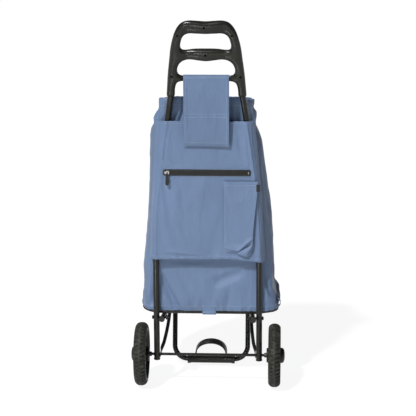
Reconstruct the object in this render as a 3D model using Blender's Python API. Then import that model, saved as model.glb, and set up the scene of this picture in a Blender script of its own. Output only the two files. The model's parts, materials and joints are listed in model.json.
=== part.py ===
"""Two-wheeled shopping trolley: steel tube frame, moulded handle, fabric bag.

Metres, +Z up. +Y points from the handle side towards the bag's front face.
Frame geometry is written with the wheel axle at y = 0 and then carried to its
place by one empty, so that the origin is on the floor under the middle of the
whole trolley.
"""

import math

import bmesh
import bpy
from mathutils import Matrix, Vector

# ---------------------------------------------------------------- dimensions
GAP = 0.0004                  # clearance between touching pieces
AXLE_Y = -0.098               # the axle's place behind the middle of the trolley

WHEEL_RADIUS = 0.080
WHEEL_CENTRE_X = 0.168
TYRE_WIDTH = 0.0305
RIM_RADIUS = 0.067
HUB_RADIUS = 0.0185
HUB_INNER_X = 0.1480
HUB_CAP_RADIUS = 0.0195
HUB_CAP_END_X = 0.1940
AXLE_RADIUS = 0.0035
AXLE_HALF_LENGTH = 0.1895

TUBE_RADIUS = 0.0075          # uprights
TUBE_WALL = 0.0012
UPRIGHT_X = 0.1290            # half spacing at the bottom
UPRIGHT_FOOT_Z = 0.068
TAPER_START_Z = 0.320
TAPER_LENGTH = 0.292
TAPER_SLOPE = 0.150
LEAN = math.radians(15.0)     # the top of the frame leans back to the user
LEAN_START_Z = 0.675
LEAN_RADIUS = 0.230

BASE_RADIUS = 0.0065
ARM_X = 0.1145
ARM_REAR_Y = -0.016
ARM_Z = 0.1775
LEG_X = 0.0958
LEG_TOP_Y = 0.205
LEG_TOP_Z = 0.1745
LEG_FOOT_Y = 0.163
ARM_BEND = 0.030
LEG_BEND = 0.035

FOOT_RADIUS = 0.012
FOOT_HALF_LENGTH = 0.062
RING_ROD = 0.003
RING_Z = 0.1870
RING_HALF_WIDTH = 0.1665
RING_NEAR_Y = 0.0135
RING_FAR_Y = 0.2680
RING_CORNER = 0.055

STRUT_RADIUS = 0.0045
STRUT_FLAT = 0.0024

HANDLE_HALF_DEPTH = 0.012
HANDLE_SPLIT = 0.00015        # half of the joint line between the two shells
HANDLE_ROUND = 0.005
CROSSBAR_LOW = 0.0500
CROSSBAR_HIGH = 0.0635
CROSSBAR_HALF_DEPTH = 0.0050
TUBE_IN_HANDLE = 0.054
SOCKET_START = 0.010

FABRIC = 0.0040               # modelled thickness of the bag's walls
BAG_BACK_Y = 0.0100
BAG_BOTTOM_Z = 0.1908
BAG_TOP_Z = 0.6540
COLLAR_TOP_Z = 0.7345         # at the near side

SLEEVE_FACE_Y = -0.0115
SLEEVE_BACK_Y = -0.0095
SLEEVE_BOTTOM_Z = 0.325
SLEEVE_TOP_Z = 0.682
SLEEVE_HALF_BOTTOM = 0.1450
SLEEVE_HALF_TOP = 0.1220

ZIP_Z = 0.5535
ZIP_HALF_LENGTH = 0.1080
ZIP_HALF_HEIGHT = 0.0078
SLIDER_X = -0.0975

POCKET_LEFT = 0.0415
POCKET_RIGHT = 0.1190
POCKET_BOTTOM_Z = 0.3500
POCKET_TOP_Z = 0.5315
POCKET_FACE_Y = -0.0180

FLAP_HALF_WIDTH = 0.0565
FLAP_BOTTOM_Z = 0.622
FLAP_THICKNESS = 0.0015
FLAP_WRAP = 0.0092            # inner radius of the fabric over the crossbar
FLAP_END_Y = -0.0165

SIDES = ((-1, "left"), (1, "right"))
LEAN_START = Vector((0.0, -LEAN_RADIUS * (1 - math.cos(LEAN)), LEAN_START_Z + LEAN_RADIUS * math.sin(LEAN)))
LEAN_AXIS = Vector((0.0, -math.sin(LEAN), math.cos(LEAN)))
CROSSBAR_CENTRE = LEAN_START + LEAN_AXIS * ((CROSSBAR_LOW + CROSSBAR_HIGH) / 2)


# ---------------------------------------------------------------- materials
def material(name, colour, roughness, metallic=0.0):
    """A plain Principled material."""
    made = bpy.data.materials.new(name)
    made.use_nodes = True
    shader = made.node_tree.nodes["Principled BSDF"]
    shader.inputs["Base Color"].default_value = (*colour, 1.0)
    shader.inputs["Roughness"].default_value = roughness
    shader.inputs["Metallic"].default_value = metallic
    made.diffuse_color = (*colour, 1.0)
    return made


def black_paint(name):
    return material(name + "_paint", (0.025, 0.025, 0.022), 0.38, 0.3)


def black_plastic(name):
    return material(name + "_plastic", (0.030, 0.030, 0.027), 0.42)


def rubber(name):
    return material(name + "_rubber", (0.045, 0.045, 0.040), 0.72)


def steel(name):
    return material(name + "_steel", (0.45, 0.45, 0.44), 0.35, 1.0)


def blue_fabric(name):
    return material(name + "_fabric", (0.155, 0.235, 0.415), 0.62)


def black_fabric(name):
    return material(name + "_fabric", (0.030, 0.031, 0.030), 0.75)


# ---------------------------------------------------------------- building blocks
def clear_scene():
    for old in list(bpy.data.objects):
        bpy.data.objects.remove(old, do_unlink=True)


def empty(name, location, parent=None):
    made = bpy.data.objects.new(name, None)
    made.location = location
    made.parent = parent
    bpy.context.scene.collection.objects.link(made)
    return made


def finish(name, bm, paint, parent, location=(0.0, 0.0, 0.0)):
    """Turn a bmesh into a named, smooth-shaded object under its parent."""
    bmesh.ops.recalc_face_normals(bm, faces=bm.faces)
    mesh = bpy.data.meshes.new(name)
    bm.to_mesh(mesh)
    bm.free()
    made = bpy.data.objects.new(name, mesh)
    made.location = location
    made.parent = parent
    bpy.context.scene.collection.objects.link(made)
    if paint is not None:
        mesh.materials.append(paint)
    mesh.shade_smooth()
    mesh.set_sharp_from_angle(angle=math.radians(35.0))
    return made


def boolean(target, cutter, operation="DIFFERENCE"):
    """Cut target with a hidden cutter, which stays as a wire guide."""
    cutter.hide_render = True
    cutter.display_type = "WIRE"
    cut = target.modifiers.new(cutter.name, "BOOLEAN")
    cut.operation = operation
    cut.solver = "EXACT"
    cut.object = cutter


def rounded_path(corners, radii, steps=6, closed=False):
    """Points along straight runs joined by arcs; radii has one value a corner."""
    count = len(corners)
    points = []
    for i, corner in enumerate(corners):
        here = Vector(corner)
        if not closed and i in (0, count - 1):
            points.append(here)
            continue
        before = (Vector(corners[i - 1]) - here).normalized()
        after = (Vector(corners[(i + 1) % count]) - here).normalized()
        half = before.angle(after) / 2
        reach = radii[i] / math.tan(half)
        middle = here + (before + after).normalized() * (radii[i] / math.sin(half))
        start = here + before * reach - middle
        end = here + after * reach - middle
        turn = start.angle(end)
        for step in range(steps + 1):
            part = step / steps
            weight_start = math.sin((1 - part) * turn) / math.sin(turn)
            weight_end = math.sin(part * turn) / math.sin(turn)
            points.append(middle + start * weight_start + end * weight_end)
    return points


def sweep_frames(path, closed):
    """A position and two cross directions at each point of a path."""
    count = len(path)
    frames = []
    side = None
    for i, point in enumerate(path):
        ahead = path[(i + 1) % count] if closed or i < count - 1 else point
        behind = path[i - 1] if closed or i > 0 else point
        tangent = (ahead - behind).normalized()
        if side is None:
            guide = Vector((0, 0, 1)) if abs(tangent.z) < 0.8 else Vector((0, 1, 0))
            side = tangent.cross(guide).normalized()
        side = (side - tangent * side.dot(tangent)).normalized()
        frames.append((point, side, tangent.cross(side)))
    return frames


def swept(name, path, sections, paint, parent, closed=False):
    """Sweep one outline, or an outer and an inner one, along a path.

    sections(i) returns the loops at point i, each a list of (side, up) offsets.
    """
    bm = bmesh.new()
    rings = []
    for i, (point, side, up) in enumerate(sweep_frames(path, closed)):
        rings.append([[bm.verts.new(point + side * a + up * b) for a, b in loop] for loop in sections(i)])
    pairs = list(zip(rings, rings[1:] + rings[:1])) if closed else list(zip(rings, rings[1:]))
    for one, two in pairs:
        for first, second in zip(one, two):
            bridge(bm, first, second)
    if not closed:
        for end in (rings[0], rings[-1]):
            if len(end) == 1:
                bm.faces.new(end[0])
            else:
                bridge(bm, end[0], end[1])
    return finish(name, bm, paint, parent)


def bridge(bm, first, second):
    count = len(first)
    for j in range(count):
        k = (j + 1) % count
        bm.faces.new((first[j], first[k], second[k], second[j]))


def circle(radius, sides, phase=0.0):
    """Points of a circle; phase is a share of one side."""
    angles = [2 * math.pi * (j + phase) / sides for j in range(sides)]
    return [(radius * math.cos(angle), radius * math.sin(angle)) for angle in angles]


def tube(name, path, outer, wall, paint, parent, sides=10):
    """A hollow tube, open at both ends."""
    loops = [circle(outer, sides), circle(outer - wall, sides)]
    return swept(name, path, lambda i: loops, paint, parent)


def turned(name, profile, paint, parent, location=(0, 0, 0), axis="X", segments=32, phase=0.0):
    """Turn a closed profile of (along, radius) points about an axis.

    A profile whose first and last radius are 0 is a solid with no bore.
    """
    bm = bmesh.new()
    solid = profile[0][1] == 0.0
    rings = []
    for along, radius in profile:
        if radius == 0.0:
            rings.append([bm.verts.new((along, 0.0, 0.0))])
            continue
        rings.append([bm.verts.new((along, a, b)) for a, b in circle(radius, segments, phase)])
    pairs = list(zip(rings, rings[1:]))
    if not solid:
        pairs.append((rings[-1], rings[0]))
    for first, second in pairs:
        if len(first) == len(second):
            bridge(bm, first, second)
            continue
        pole, ring = (first[0], second) if len(first) == 1 else (second[0], first)
        for j, vert in enumerate(ring):
            bm.faces.new((pole, vert, ring[(j + 1) % len(ring)]))
    if axis == "Y":
        bmesh.ops.rotate(bm, verts=bm.verts, matrix=Matrix.Rotation(math.radians(90), 3, "Z"))
    if axis == "Z":
        bmesh.ops.rotate(bm, verts=bm.verts, matrix=Matrix.Rotation(math.radians(-90), 3, "Y"))
    return finish(name, bm, paint, parent, location)


def prism(name, outline, low, high, paint, parent, plane="XZ", location=(0, 0, 0)):
    """Extrude an outline between two levels. plane names the outline's axes."""
    places = {
        "XZ": lambda a, b, t: (a, t, b),
        "XY": lambda a, b, t: (a, b, t),
        "YZ": lambda a, b, t: (t, a, b),
    }
    place = places[plane]
    bm = bmesh.new()
    lower = [bm.verts.new(place(a, b, low)) for a, b in outline]
    upper = [bm.verts.new(place(a, b, high)) for a, b in outline]
    bridge(bm, lower, upper)
    bm.faces.new(lower)
    bm.faces.new(list(reversed(upper)))
    return finish(name, bm, paint, parent, location)


def box(name, low, high, paint, parent, location=(0, 0, 0)):
    outline = [(low[0], low[2]), (high[0], low[2]), (high[0], high[2]), (low[0], high[2])]
    return prism(name, outline, low[1], high[1], paint, parent, "XZ", location)


def rounded_rectangle(x0, x1, y0, y1, radius, steps=4):
    """Outline with round corners, counter-clockwise."""
    outline = []
    centres = ((x1 - radius, y0 + radius, -90), (x1 - radius, y1 - radius, 0),
               (x0 + radius, y1 - radius, 90), (x0 + radius, y0 + radius, 180))
    for cx, cy, start in centres:
        for step in range(steps + 1):
            angle = math.radians(start + 90 * step / steps)
            outline.append((cx + radius * math.cos(angle), cy + radius * math.sin(angle)))
    return outline


# ---------------------------------------------------------------- frame
def upright_x(z):
    """Half spacing of the uprights' centre lines at a height."""
    rise = z - TAPER_START_Z
    if rise <= 0:
        return UPRIGHT_X
    if rise < TAPER_LENGTH:
        return UPRIGHT_X - TAPER_SLOPE * rise * rise / (2 * TAPER_LENGTH)
    return UPRIGHT_X - TAPER_SLOPE * (rise - TAPER_LENGTH / 2)


def upright_path(side):
    """Straight, then tapering in, then bent back towards the user."""
    heights = [UPRIGHT_FOOT_Z, TAPER_START_Z]
    heights += [TAPER_START_Z + TAPER_LENGTH * step / 4 for step in range(1, 5)]
    heights.append(LEAN_START_Z)
    path = [Vector((side * upright_x(z), 0.0, z)) for z in heights]
    for step in range(1, 5):
        angle = LEAN * step / 4
        z = LEAN_START_Z + LEAN_RADIUS * math.sin(angle)
        path.append(Vector((side * upright_x(z), -LEAN_RADIUS * (1 - math.cos(angle)), z)))
    top = LEAN_START + LEAN_AXIS * TUBE_IN_HANDLE
    path.append(Vector((side * upright_x(top.z), top.y, top.z)))
    return path


def cross_hole(target, name, x, y, z, radius, parent, half_length=0.012):
    """A hole along X through a tube."""
    profile = [(-half_length, 0.0), (-half_length, radius), (half_length, radius), (half_length, 0.0)]
    boolean(target, turned(name, profile, None, parent, (x, y, z), segments=12))


def build_uprights(root):
    for side, word in SIDES:
        name = f"{word}_upright"
        made = tube(name, upright_path(side), TUBE_RADIUS, TUBE_WALL, black_paint(name), root, 12)
        x = side * UPRIGHT_X
        cross_hole(made, f"{word}_axle_hole", x, 0.0, WHEEL_RADIUS, AXLE_RADIUS + GAP, root)
        cross_hole(made, f"{word}_bolt_hole", x, 0.0, ARM_Z, 0.0030 + GAP, root)
        cap = f"{word}_upright_cap"
        low = UPRIGHT_FOOT_Z - 0.0025
        profile = [(low, 0.0), (low, TUBE_RADIUS), (low + 0.001, TUBE_RADIUS + 0.0010),
                   (UPRIGHT_FOOT_Z - GAP, TUBE_RADIUS + 0.0010), (UPRIGHT_FOOT_Z - GAP, TUBE_RADIUS - 0.0020),
                   (UPRIGHT_FOOT_Z + 0.0040, TUBE_RADIUS - 0.0020), (UPRIGHT_FOOT_Z + 0.0040, 0.0)]
        turned(cap, profile, black_plastic(cap), root, (x, 0.0, 0.0), "Z", 16)


def base_path():
    """One bent tube: arm, leg, cross bar, leg, arm."""
    right = [(ARM_X, ARM_REAR_Y, ARM_Z), (LEG_X, LEG_TOP_Y, LEG_TOP_Z), (LEG_X, LEG_FOOT_Y, FOOT_RADIUS)]
    left = [(-x, y, z) for x, y, z in reversed(right)]
    return rounded_path(right + left, [0, ARM_BEND, LEG_BEND, LEG_BEND, ARM_BEND, 0], steps=4)


def arm_x(y):
    """The arms close in towards the legs."""
    return ARM_X + (LEG_X - ARM_X) * (y - ARM_REAR_Y) / (LEG_TOP_Y - ARM_REAR_Y)


def build_base(root):
    made = tube("base_tube", base_path(), BASE_RADIUS, TUBE_WALL, black_paint("base_tube"), root)
    for side, word in SIDES:
        cross_hole(made, f"{word}_arm_hole", side * arm_x(0.0), 0.0, ARM_Z, 0.0030 + GAP, root)
        plug = f"{word}_base_plug"
        rear = ARM_REAR_Y - 0.0035
        seat = ARM_REAR_Y - 0.0010
        profile = [(rear, 0.0), (rear, BASE_RADIUS), (rear + 0.001, BASE_RADIUS + 0.0008),
                   (seat, BASE_RADIUS + 0.0008), (seat, BASE_RADIUS - 0.0022),
                   (ARM_REAR_Y + 0.0040, BASE_RADIUS - 0.0022), (ARM_REAR_Y + 0.0040, 0.0)]
        turned(plug, profile, black_plastic(plug), root, (side * arm_x(ARM_REAR_Y), 0.0, ARM_Z), "Y", 16)
        build_base_bolt(root, side, word)
    corners = [(RING_HALF_WIDTH, RING_NEAR_Y, RING_Z), (RING_HALF_WIDTH, RING_FAR_Y, RING_Z),
               (-RING_HALF_WIDTH, RING_FAR_Y, RING_Z), (-RING_HALF_WIDTH, RING_NEAR_Y, RING_Z)]
    path = rounded_path(corners, [RING_CORNER] * 4, steps=6, closed=True)
    rod = [circle(RING_ROD, 10)]
    swept("base_ring", path, lambda i: rod, black_paint("base_ring"), root, closed=True)


def build_base_bolt(root, side, word):
    """Screw through an upright and the arm beside it, with its nut inboard."""
    head = UPRIGHT_X + TUBE_RADIUS + GAP
    nut = arm_x(0.0) - BASE_RADIUS - 0.0010
    bolt = f"{word}_base_bolt"
    profile = [(head + 0.0035, 0.0), (head + 0.0035, 0.0035), (head + 0.0015, 0.0052), (head, 0.0052),
               (head, 0.0029), (nut - 0.0060, 0.0029), (nut - 0.0060, 0.0)]
    profile = [(side * along, radius) for along, radius in profile]
    turned(bolt, profile, steel(bolt), root, (0.0, 0.0, ARM_Z), segments=12)
    nut_name = f"{word}_base_nut"
    build_nut(nut_name, root, side * nut, -side, (0.0029, 0.0060), (0.0, 0.0, ARM_Z), 0.0048)


def build_nut(name, root, start, direction, radii, location, thickness):
    """A hexagon nut on an X axis; its six-sided bore clears the bolt's radius."""
    inner = (radii[0] + GAP) / math.cos(math.pi / 6)
    outer = radii[1]
    end = start + direction * thickness
    profile = [(start, inner), (start, outer), (end, outer), (end, inner)]
    turned(name, profile, steel(name), root, location, segments=6)


def build_struts(root):
    """Braces from the axle to the arms, flattened at both ends."""
    for side, word in SIDES:
        low = Vector((side * 0.1197, 0.0, WHEEL_RADIUS))
        high = Vector((side * (arm_x(0.186) + BASE_RADIUS + 0.0020), 0.186, 0.1745))
        path = [low.lerp(high, -0.035)] + [low.lerp(high, k) for k in (0.035, 0.09)]
        path += [low.lerp(high, k) + Vector((-side * 0.005 * math.sin(math.pi * k), 0, 0))
                 for k in (0.16, 0.30, 0.50, 0.70, 0.84)]
        path += [low.lerp(high, k) for k in (0.91, 0.965, 1.035)]
        flat = {0, 1, len(path) - 2, len(path) - 1}
        half = {2, len(path) - 3}
        wide, thin = 0.0060, STRUT_FLAT / 2

        def section(i, flat=flat, half=half):
            if i in flat:
                return [[(thin * math.copysign(abs(a) ** 0.5, a), wide * b) for a, b in circle(1.0, 12)]]
            if i in half:
                return [[(0.0028 * a, 0.0052 * b) for a, b in circle(1.0, 12)]]
            return [[(STRUT_RADIUS * a, STRUT_RADIUS * b) for a, b in circle(1.0, 12)]]

        name = f"{word}_strut"
        made = swept(name, path, section, black_paint(name), root)
        cross_hole(made, f"{word}_strut_eye", low.x, 0.0, WHEEL_RADIUS, AXLE_RADIUS + GAP, root, 0.004)
        cross_hole(made, f"{word}_strut_hole", high.x, high.y, high.z, 0.0020 + GAP, root, 0.004)
        rivet = f"{word}_strut_rivet"
        outer = side * (STRUT_FLAT / 2 + GAP)
        inner = -side * (STRUT_FLAT / 2 + 0.0034)
        profile = [(outer + side * 0.0022, 0.0), (outer + side * 0.0014, 0.0036), (outer, 0.0044),
                   (outer, 0.0020), (inner, 0.0020), (inner, 0.0)]
        turned(rivet, profile, steel(rivet), root, high, segments=12)
        base = bpy.data.objects["base_tube"]
        cross_hole(base, f"{word}_rivet_hole", high.x - side * 0.006, high.y, high.z, 0.0020 + GAP, root, 0.005)


def build_foot(root):
    """Ribbed plastic sleeve on the cross bar, and the hoop that stands on it."""
    bore = BASE_RADIUS + GAP
    half = FOOT_HALF_LENGTH
    facets = 24
    flange = FOOT_RADIUS / math.cos(math.pi / facets)
    body = flange - 0.0012
    profile = [(-half, bore), (-half, flange), (-half + 0.008, flange), (-half + 0.010, body),
               (half - 0.010, body), (half - 0.008, flange), (half, flange), (half, bore)]
    turned("stand_foot", profile, black_plastic("stand_foot"), root, (0.0, LEG_FOOT_Y, FOOT_RADIUS),
           segments=facets, phase=0.5)
    outer = hoop_outline(0.0415, 0.0625)
    inner = hoop_outline(0.0385, 0.0595)
    prism("stand_hoop", outer + list(reversed(inner)), LEG_FOOT_Y - 0.019, LEG_FOOT_Y + 0.019,
          black_plastic("stand_hoop"), root)


def hoop_outline(half_width, top):
    """Arch from one foot to the other, right to left."""
    foot = 2 * FOOT_RADIUS + GAP
    steps = 14
    return [(half_width * math.cos(math.pi * step / steps),
             foot + (top - foot) * math.sin(math.pi * step / steps) ** 0.8) for step in range(steps + 1)]


# ---------------------------------------------------------------- wheels
def build_axle(root):
    profile = [(-AXLE_HALF_LENGTH, 0.0), (-AXLE_HALF_LENGTH, AXLE_RADIUS),
               (AXLE_HALF_LENGTH, AXLE_RADIUS), (AXLE_HALF_LENGTH, 0.0)]
    turned("axle", profile, black_paint("axle"), root, (0.0, 0.0, WHEEL_RADIUS), segments=16)


def build_wheel(root, side, word):
    """Tyre on a spoked rim, turning with its hub cap on the axle's end."""
    hub = empty(f"{word}_wheel", (side * WHEEL_CENTRE_X, 0.0, WHEEL_RADIUS), root)
    half = TYRE_WIDTH / 2
    facets = 48
    crown = WHEEL_RADIUS / math.cos(math.pi / facets)
    seat = RIM_RADIUS + 2 * GAP
    tyre = [(-half, seat), (-half, 0.0740), (-half + 0.0045, 0.0785), (-0.004, crown),
            (0.004, crown), (half - 0.0045, 0.0785), (half, 0.0740), (half, seat)]
    turned(f"{word}_tyre", tyre, rubber(f"{word}_tyre"), hub, segments=facets, phase=0.5)
    build_rim(hub, side, word)
    build_hub_fittings(root, hub, side, word)


def build_rim(hub, side, word):
    """Rim band, web and hub in one moulding; the web is cut into six spokes."""
    half = TYRE_WIDTH / 2
    bore = AXLE_RADIUS + GAP
    inner_end = HUB_INNER_X - WHEEL_CENTRE_X
    profile = [(inner_end, bore), (inner_end, HUB_RADIUS), (-0.004, HUB_RADIUS), (-0.004, 0.0600),
               (-half, 0.0620), (-half, RIM_RADIUS), (half, RIM_RADIUS), (half, 0.0620),
               (0.004, 0.0600), (0.004, HUB_RADIUS), (half - 0.001, HUB_RADIUS), (half - 0.001, bore)]
    profile = [(side * along, radius) for along, radius in profile]
    name = f"{word}_rim"
    made = turned(name, profile, black_plastic(name), hub, segments=36)
    spokes = 6
    for k in range(spokes):
        cutter = spoke_window(f"{word}_window_{k}", hub, 2 * math.pi * k / spokes, math.radians(22.0))
        boolean(made, cutter)


def spoke_window(name, hub, middle, half_angle):
    """Cutter for one opening between two spokes."""
    outline = []
    steps = 3
    for radius, order in ((0.0560, 1), (0.0245, -1)):
        reach = half_angle if radius > 0.03 else half_angle * 0.62
        for step in range(steps + 1):
            angle = middle + order * reach * (2 * step / steps - 1)
            outline.append((radius * math.cos(angle), radius * math.sin(angle)))
    return prism(name, outline, -0.010, 0.010, None, hub, "YZ")


def build_hub_fittings(root, hub, side, word):
    """Spacer bush on the axle, push-on nut on its end, and the hub cap over it."""
    bore = AXLE_RADIUS + GAP
    bush = f"{word}_bush"
    profile = [(HUB_INNER_X - GAP, bore), (HUB_INNER_X - GAP, 0.0062), (HUB_INNER_X - 0.0060, 0.0056),
               (HUB_INNER_X - 0.0060, bore)]
    profile = [(side * along, radius) for along, radius in profile]
    turned(bush, profile, black_plastic(bush), root, (0.0, 0.0, WHEEL_RADIUS), segments=16)
    nut = f"{word}_axle_nut"
    start = WHEEL_CENTRE_X + TYRE_WIDTH / 2 + 0.0004
    profile = [(start, bore), (start, 0.0080), (start + 0.0030, 0.0072), (start + 0.0030, bore)]
    profile = [(side * along, radius) for along, radius in profile]
    turned(nut, profile, steel(nut), root, (0.0, 0.0, WHEEL_RADIUS), segments=16)
    cap = f"{word}_hub_cap"
    low = WHEEL_CENTRE_X + TYRE_WIDTH / 2 - 0.001 + GAP
    high = HUB_CAP_END_X
    profile = [(high, 0.0), (high, 0.0120), (high - 0.0025, 0.0180), (low, HUB_CAP_RADIUS),
               (low, 0.0165), (high - 0.0030, 0.0150), (high - 0.0025, 0.0)]
    profile = [(side * (along - WHEEL_CENTRE_X), radius) for along, radius in profile]
    turned(cap, profile, black_plastic(cap), hub, segments=32)


# ---------------------------------------------------------------- handle
def handle_matrix():
    """From the handle's own plane (x, along, out) to the leaning frame."""
    across = Vector((1.0, 0.0, 0.0))
    out = across.cross(LEAN_AXIS)
    rows = Matrix((across, LEAN_AXIS, out)).transposed().to_4x4()
    rows.translation = LEAN_START
    return rows


def smooth_spline(curve, points):
    """Close a smooth outline through its own points."""
    spline = curve.splines.new("BEZIER")
    spline.bezier_points.add(len(points) - 1)
    for place, (x, y, sharp) in zip(spline.bezier_points, points):
        place.co = (x, y, 0.0)
        place.handle_left_type = place.handle_right_type = "VECTOR" if sharp else "AUTO"
    spline.use_cyclic_u = True
    spline.resolution_u = 3


def handle_blank():
    """The whole handle: outline, two hand openings, rounded edges."""
    curve = bpy.data.curves.new("handle_outline", "CURVE")
    curve.dimensions = "2D"
    curve.fill_mode = "BOTH"
    curve.extrude = HANDLE_HALF_DEPTH - HANDLE_ROUND
    curve.bevel_depth = HANDLE_ROUND
    curve.bevel_resolution = 1
    curve.offset = -HANDLE_ROUND
    legs = [(0.0, CROSSBAR_LOW, False), (0.056, CROSSBAR_LOW, False), (0.0690, 0.0475, False),
            (0.0745, 0.0380, False), (0.0778, SOCKET_START, True), (0.0966, SOCKET_START, True),
            (0.0925, 0.0600, False), (0.0870, 0.1110, False), (0.0790, 0.1600, False),
            (0.0665, 0.1905, False), (0.0530, 0.2025, False), (0.0340, 0.2056, False), (0.0, 0.2034, False)]
    smooth_spline(curve, mirror_outline(legs))
    lower = [(0.0, CROSSBAR_HIGH, False), (0.0560, CROSSBAR_HIGH, False), (0.0660, 0.0660, False),
             (0.0697, 0.0740, False), (0.0675, 0.0900, False), (0.0560, 0.1030, False),
             (0.0400, 0.1072, False), (0.0, 0.1028, False)]
    smooth_spline(curve, mirror_outline(lower))
    upper = [(0.0, 0.1335, False), (0.0500, 0.1310, False), (0.0600, 0.1360, False),
             (0.0595, 0.1510, False), (0.0540, 0.1660, False), (0.0435, 0.1732, False), (0.0, 0.1734, False)]
    smooth_spline(curve, mirror_outline(upper))
    return curve


def mirror_outline(right):
    """Right half from the bottom middle to the top middle, then back down."""
    left = [(-x, y, sharp) for x, y, sharp in reversed(right[1:-1])]
    return right + left


def curve_mesh(curve):
    """Evaluate a curve into a welded mesh."""
    holder = bpy.data.objects.new("handle_guide", curve)
    bpy.context.scene.collection.objects.link(holder)
    depsgraph = bpy.context.evaluated_depsgraph_get()
    mesh = bpy.data.meshes.new_from_object(holder.evaluated_get(depsgraph))
    bpy.data.objects.remove(holder, do_unlink=True)
    bm = bmesh.new()
    bm.from_mesh(mesh)
    bmesh.ops.remove_doubles(bm, verts=bm.verts, dist=0.00001)
    bpy.data.meshes.remove(mesh)
    return bm


HANDLE_SCREWS = ((-0.0030, 0.1920), (-0.0665, 0.1715), (0.0635, 0.1720), (-0.0005, 0.1215),
                 (-0.0830, 0.0650), (0.0830, 0.0650))


def build_handle(root):
    """Rear and front shells, split on the handle's middle plane."""
    place = empty("handle_plane", (0, 0, 0), root)
    place.matrix_local = handle_matrix()
    for word, out in (("rear", 1), ("front", -1)):
        name = f"handle_{word}_shell"
        made = finish(name, curve_mesh(handle_blank()), black_plastic(name), place)
        far = -out * 0.05
        near = out * HANDLE_SPLIT
        low, high = min(far, near), max(far, near)
        outline = [(-0.2, -0.1), (0.2, -0.1), (0.2, 0.3), (-0.2, 0.3)]
        boolean(made, prism(f"{word}_half_cutter", outline, low, high, None, place, "XY"))
        low, high = sorted((out * CROSSBAR_HALF_DEPTH, out * 0.05))
        outline = [(-0.0580, 0.0400), (0.0580, 0.0400), (0.0580, 0.0660), (-0.0580, 0.0660)]
        boolean(made, prism(f"{word}_crossbar_cutter", outline, low, high, None, place, "XY"))
        for side, hand in SIDES:
            boolean(made, tube_channel(f"{word}_{hand}_channel", side, place))
        for index, (x, along) in enumerate(HANDLE_SCREWS):
            boolean(made, screw_bore(f"{word}_screw_bore_{index}", x, along, word == "rear", place))
    for index, (x, along) in enumerate(HANDLE_SCREWS):
        build_handle_screw(index + 1, x, along, place)


def tube_channel(name, side, place):
    """Cutter for the socket that an upright slides into."""
    top = LEAN_START + LEAN_AXIS * TUBE_IN_HANDLE
    slope = (upright_x(LEAN_START.z) - upright_x(top.z)) / TUBE_IN_HANDLE
    start = Vector((side * (upright_x(LEAN_START.z) + slope * 0.01), -0.01, 0.0))
    end = Vector((side * (upright_x(top.z) - slope * 0.001), TUBE_IN_HANDLE + 0.001, 0.0))
    loop = [circle(TUBE_RADIUS + GAP, 14)]
    return swept(name, [start, end], lambda i: loop, None, place)


def screw_bore(name, x, along, is_rear, place):
    """Cutter for a screw: counterbored in the rear shell, blind in the front."""
    if is_rear:
        profile = [(-0.002, 0.0), (-0.002, 0.0018), (0.0060, 0.0018), (0.0060, 0.0036),
                   (0.0200, 0.0036), (0.0200, 0.0)]
    else:
        profile = [(-0.0075, 0.0), (-0.0075, 0.0018), (0.002, 0.0018), (0.002, 0.0)]
    return turned(name, profile, None, place, (x, along, 0.0), "Z", 10)


def build_handle_screw(number, x, along, place):
    name = f"handle_screw_{number}"
    profile = [(-0.0070, 0.0), (-0.0070, 0.0014), (0.0060 + GAP, 0.0014), (0.0060 + GAP, 0.0031),
               (0.0080, 0.0029), (0.0085, 0.0)]
    turned(name, profile, steel(name), place, (x, along, 0.0), "Z", 10)


# ---------------------------------------------------------------- bag
BAG_STATIONS = (              # height, half width, front face, how much lower the far side is
    (0.0, 0.1630, 0.2700, 0.0), (0.030, 0.1665, 0.2740, 0.0), (0.075, 0.1660, 0.2760, 0.0),
    (0.140, 0.1625, 0.2740, 0.0), (0.220, 0.1555, 0.2690, 0.0), (0.310, 0.1480, 0.2620, 0.0),
    (0.400, 0.1410, 0.2540, 0.0), (0.440, 0.1380, 0.2480, 0.0), (0.4632, 0.1290, 0.2380, 0.0),
)
COLLAR_STATIONS = ((0.6544, 0.1270, 0.2360, 0.0), (0.670, 0.1190, 0.2270, 0.0), (0.690, 0.1160, 0.2200, 0.006),
                   (COLLAR_TOP_Z, 0.1165, 0.2220, 0.034))


def shell_between(name, stations, floor, paint, root, inset_bottom=0.0):
    """A bag wall through rounded rectangles, open at the top."""
    bm = bmesh.new()
    outer = []
    inner = []
    for z, half, front, drop in stations:
        slope = drop / (front - BAG_BACK_Y)
        outline = rounded_rectangle(-half, half, BAG_BACK_Y, front, 0.034)
        outer.append([bm.verts.new((x, y, z - slope * (y - BAG_BACK_Y))) for x, y in outline])
        z_in = max(z, stations[0][0] + inset_bottom)
        outline = rounded_rectangle(-half + FABRIC, half - FABRIC, BAG_BACK_Y + FABRIC, front - FABRIC, 0.030)
        inner.append([bm.verts.new((x, y, z_in - slope * (y - BAG_BACK_Y))) for x, y in outline])
    for loops in (outer, inner):
        for first, second in zip(loops, loops[1:]):
            bridge(bm, first, second)
    bridge(bm, outer[-1], inner[-1])
    if floor:
        bm.faces.new(outer[0])
        bm.faces.new(list(reversed(inner[0])))
    else:
        bridge(bm, outer[0], inner[0])
    return finish(name, bm, paint, root)


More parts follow.
